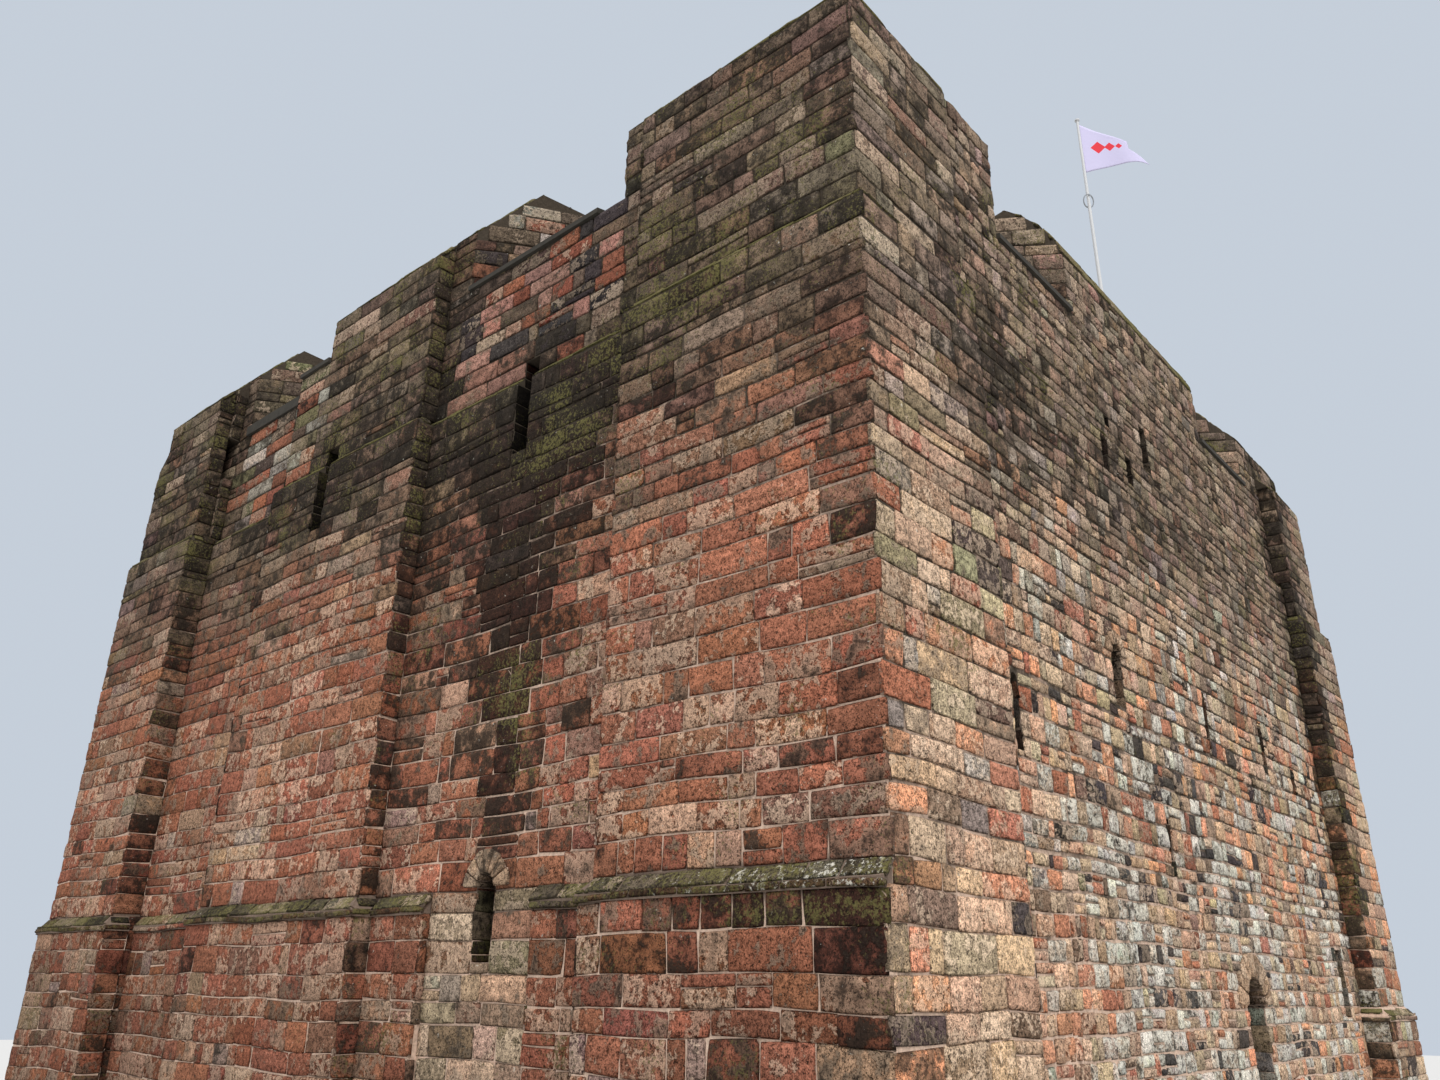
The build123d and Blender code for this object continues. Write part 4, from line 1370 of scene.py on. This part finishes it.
@dataclass(frozen=True)
class ClothFinish:
    """Thin pale flag cloth with a row of plain lozenges, each given by its middle and half its width."""

    cloth: Colour = (0.60, 0.57, 0.78)
    motif: Colour = (0.75, 0.05, 0.07)
    lozenges: tuple[Triple, ...] = ((0.42, 0.80, 0.2), (0.72, 0.80, 0.14), (0.95, 0.80, 0.09))
    blur: float = 0.006

    def build(self, name: str) -> bpy.types.Material:
        """Makes the material."""
        graph = Surface(name)
        across, up, _ = graph.split(graph.attribute("cloth_place", "Vector"))
        mask: object = 0.0
        for centre_u, centre_v, half in self.lozenges:
            reach = (across - centre_u).size() + (up - centre_v).size()
            mask = (1 - reach.between(half - self.blur, half + self.blur)).largest(mask)
        weave = graph.noise(260.0, 2.0, 0.5)
        colour = graph.mix(mask, rgba(self.cloth), rgba(self.motif))
        return graph.finish(graph.scaled(colour, 0.92 + 0.16 * weave), 0.85, 0.2, weave, (0.2, 0.001))


@dataclass
class FlagCloth:
    """The flag, waving from the pole: a thin closed sheet that stands for the CAD one."""

    hoist: float = 1.57
    fly: float = 1.75
    tip: Interval = (1.75, 0.34)
    notch: Interval = (1.2, 0.69)
    head: Interval = (1.18, 0.95)
    belly: float = 0.09
    thickness: float = 0.003
    angle: float = -49.0
    bottom: float = 26.54
    pole: Interval = (3.94, -8.05)
    hem: float = 0.035
    columns: int = 48
    rows: int = 24
    wave: float = 0.09

    def build(self) -> bpy.types.Object:
        """Makes the cloth from a grid cut to the flag's outline, then waved and thickened."""
        cloth = bmesh.new()
        bmesh.ops.create_grid(cloth, x_segments=self.columns, y_segments=self.rows, size=0.5)
        mark = cloth.verts.layers.float_vector.new("cloth_place")
        for vertex in cloth.verts:
            vertex[mark] = self._flat(vertex.co.x + 0.5, vertex.co.y + 0.5)
            vertex.co = vertex[mark]
        area = sum(face.calc_area() for face in cloth.faces)
        for vertex in cloth.verts:
            vertex.co = self._wave(vertex[mark].copy())
        bmesh.ops.recalc_face_normals(cloth, faces=cloth.faces)
        bmesh.ops.solidify(cloth, geom=cloth.faces[:], thickness=self.thickness)
        for face in cloth.faces:
            face.smooth = True
        piece = settle("flag_cloth", cloth, ClothFinish())
        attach(piece, "root")
        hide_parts("flag")
        return piece

    def _flat(self, across: float, high: float) -> Vector:
        """Place on the flat cloth, from shares of the way along it and up it."""
        start, end = (self.tip, self.notch) if high < 0.5 else (self.notch, self.head)
        share = 2 * high if high < 0.5 else 2 * high - 1
        edge = Vector(start).lerp(Vector(end), share)
        return Vector((across * edge.x, self.hoist * high * (1 - across) + edge.y * across, 0.0))

    def _wave(self, flat: Vector) -> Vector:
        """Carries a place on the flat cloth to where the wind holds it."""
        share = flat.x / self.fly
        turn = math.radians(self.angle)
        out = self.hem + flat.x * 0.98
        side = self.wave * share * math.sin(6.5 * share + 1.1 * flat.y) * (0.5 + share)
        lift = self.belly * math.sin(math.pi * share) * (1 - flat.y / self.hoist)
        x = self.pole[0] + math.cos(turn) * out - math.sin(turn) * side
        y = self.pole[1] + math.sin(turn) * out + math.cos(turn) * side
        return Vector((x, y, self.bottom + flat.y + lift))


# Each node's material and finish, by its name or the end of its name; the rest is mortar
FINISHES = {
    # Sill slabs: near-black, partly their own dark slabs and partly painted shadow in the gap under their edge
    "_sills": ("sill_slabs", PlainFinish((0.045, 0.04, 0.032), 0.93, mottle=1.1, scale=7.0, relief=0.012)),
    "flagpole": ("pole_paint", PlainFinish((0.62, 0.63, 0.64), 0.45, mottle=0.15)),
    "halyard_ring": ("ring_steel", PlainFinish((0.42, 0.43, 0.44), 0.45, 0.7, mottle=0.2)),
    "pole_socket": ("socket_stone", PlainFinish((0.24, 0.22, 0.19), 0.9, mottle=0.5)),
    "ground_floor": ("floor_flags", PlainFinish((0.2, 0.18, 0.15), 0.9, mottle=0.6, laid=(0.9, 0.6))),
    "roof_deck": ("roof_flags", PlainFinish((0.19, 0.18, 0.155), 0.9, mottle=0.9, laid=(0.9, 0.6))),
    "_floor": ("floor_oak", PlainFinish((0.12, 0.08, 0.05), 0.8, mottle=0.6, laid=(3.6, 0.24))),
}


def dress(nodes: dict[str, bpy.types.Object]) -> None:
    """Gives every CAD node its finish."""
    mortar = MortarFinish().build("mortar")
    finishes = {key: finish.build(name) for key, (name, finish) in FINISHES.items()}
    for name, node in nodes.items():
        node.data.materials.clear()
        node.data.materials.append(next((m for key, m in finishes.items() if name.endswith(key)), mortar))


@dataclass
class Setting:
    """Floor, sky, lamp and camera."""

    camera_at: Triple = (-19.244, -15.986, 7.0)
    forward: Triple = (0.6977, 0.6092, 0.3769)
    roll: float = 0.636
    lens: float = 27.58
    sky: Colour = (0.56, 0.62, 0.70)
    glow: Colour = (0.98, 0.98, 1.0)
    sky_light: Interval = (0.4, 1.4)
    sky_rise: Interval = (-0.1, 0.9)
    sun: Colour = (1.0, 0.98, 0.95)
    sun_power: float = 2.0
    sun_width: float = 28.0
    sun_turn: Interval = (38.0, -32.0)
    floor_colour: Colour = (0.52, 0.52, 0.51)
    floor_radius: float = 160.0

    def build(self) -> None:
        """Makes the whole setting."""
        self._floor()
        self._world()
        self._lamp()
        self._camera()

    def _floor(self) -> None:
        """A plain pale floor."""
        disc = bmesh.new()
        bmesh.ops.create_circle(disc, cap_ends=True, segments=96, radius=self.floor_radius)
        settle("floor", disc, PlainFinish(self.floor_colour, 0.95, mottle=0.02))

    def _world(self) -> None:
        """Soft light from all round, and a pale sky to the camera."""
        world = bpy.data.worlds.new("sky")
        bpy.context.scene.world = world
        world.use_nodes = True
        graph = Graph(world.node_tree)
        height = graph.split(graph.node("TexCoord", {}, {}, "Generated"))[2]
        ends = zip(("From Min", "From Max", "To Min", "To Max"), self.sky_rise + self.sky_light)
        fade = graph.node("MapRange", {}, {"Value": height, **dict(ends)})
        light = graph.node("Background", {}, {"Color": rgba(self.glow), "Strength": fade})
        seen = graph.node("Background", {}, {"Color": rgba(self.sky), "Strength": 1.0})
        rays = [graph.node("LightPath", {}, {}, f"Is {kind} Ray") for kind in ("Camera", "Glossy")]
        mix = graph.node("MixShader", {}, {0: rays[0].largest(rays[1]), 1: light, 2: seen})
        graph.fill(graph.tree.nodes.new("ShaderNodeOutputWorld"), {"Surface": mix})

    def _lamp(self) -> None:
        """A broad, soft sun that gives the stones a little modelling."""
        lamp = bpy.data.lights.new("soft_sun", "SUN")
        lamp.energy = self.sun_power
        lamp.angle = math.radians(self.sun_width)
        lamp.color = self.sun
        tilt, turn = (math.radians(angle) for angle in self.sun_turn)
        put("soft_sun", lamp).rotation_euler = (tilt, 0.0, turn)

    def _camera(self) -> None:
        """The photograph's viewpoint, looking up at the near corner."""
        forward = Vector(self.forward).normalized()
        level = forward.cross(Vector(UP)).normalized()
        up = level.cross(forward)
        tilt = math.radians(self.roll)
        right = level * math.cos(tilt) + up * math.sin(tilt)
        over = up * math.cos(tilt) - level * math.sin(tilt)
        data = bpy.data.cameras.new("camera")
        data.lens = self.lens
        data.sensor_width = 36.0
        data.clip_end = 1000.0
        camera = put("camera", data)
        turn = Matrix((right, over, -forward)).transposed().to_4x4()
        camera.matrix_world = Matrix.Translation(self.camera_at) @ turn
        bpy.context.scene.camera = camera


STONE_ENDINGS = ("_wall", "_buttress", "_turret", "_merlon", "_stage", "_parapet")


def main() -> None:
    """Builds the keep's dress and its setting."""
    rng = np.random.default_rng(SEED)
    carved = {name: node for name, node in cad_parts.items() if name.endswith(STONE_ENDINGS)}
    fabric = Fabric(carved)
    fabric.gather()
    log.info("%d planes", len(fabric.facets))
    fine = [Pattern.carve(rng, 2) for _ in range(10)]
    plain = [Pattern.carve(rng, 1) for _ in range(10)]
    patterns = {Bond.ASHLAR: fine, Bond.RUBBLE: plain, Bond.COPING: fine, Bond.PAVING: plain}
    mason = Mason(fabric, rng, StoneSorter(rng), patterns)
    mason.set_out()
    mason.lay_all()
    mason.turn_arches()
    mason.cap_curves()
    sandstone = SandstoneFinish().build("sandstone")
    for heap in mason.heaps.values():
        slot = "parapet_stone" if "top" in heap.name or "parapet" in heap.name else "wall_stone"
        heap.build(sandstone, slot)
    dress(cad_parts)
    FlagCloth().build()
    Setting().build()
    bpy.context.scene.view_settings.view_transform = "Standard"


if __name__ == "__main__":
    main()
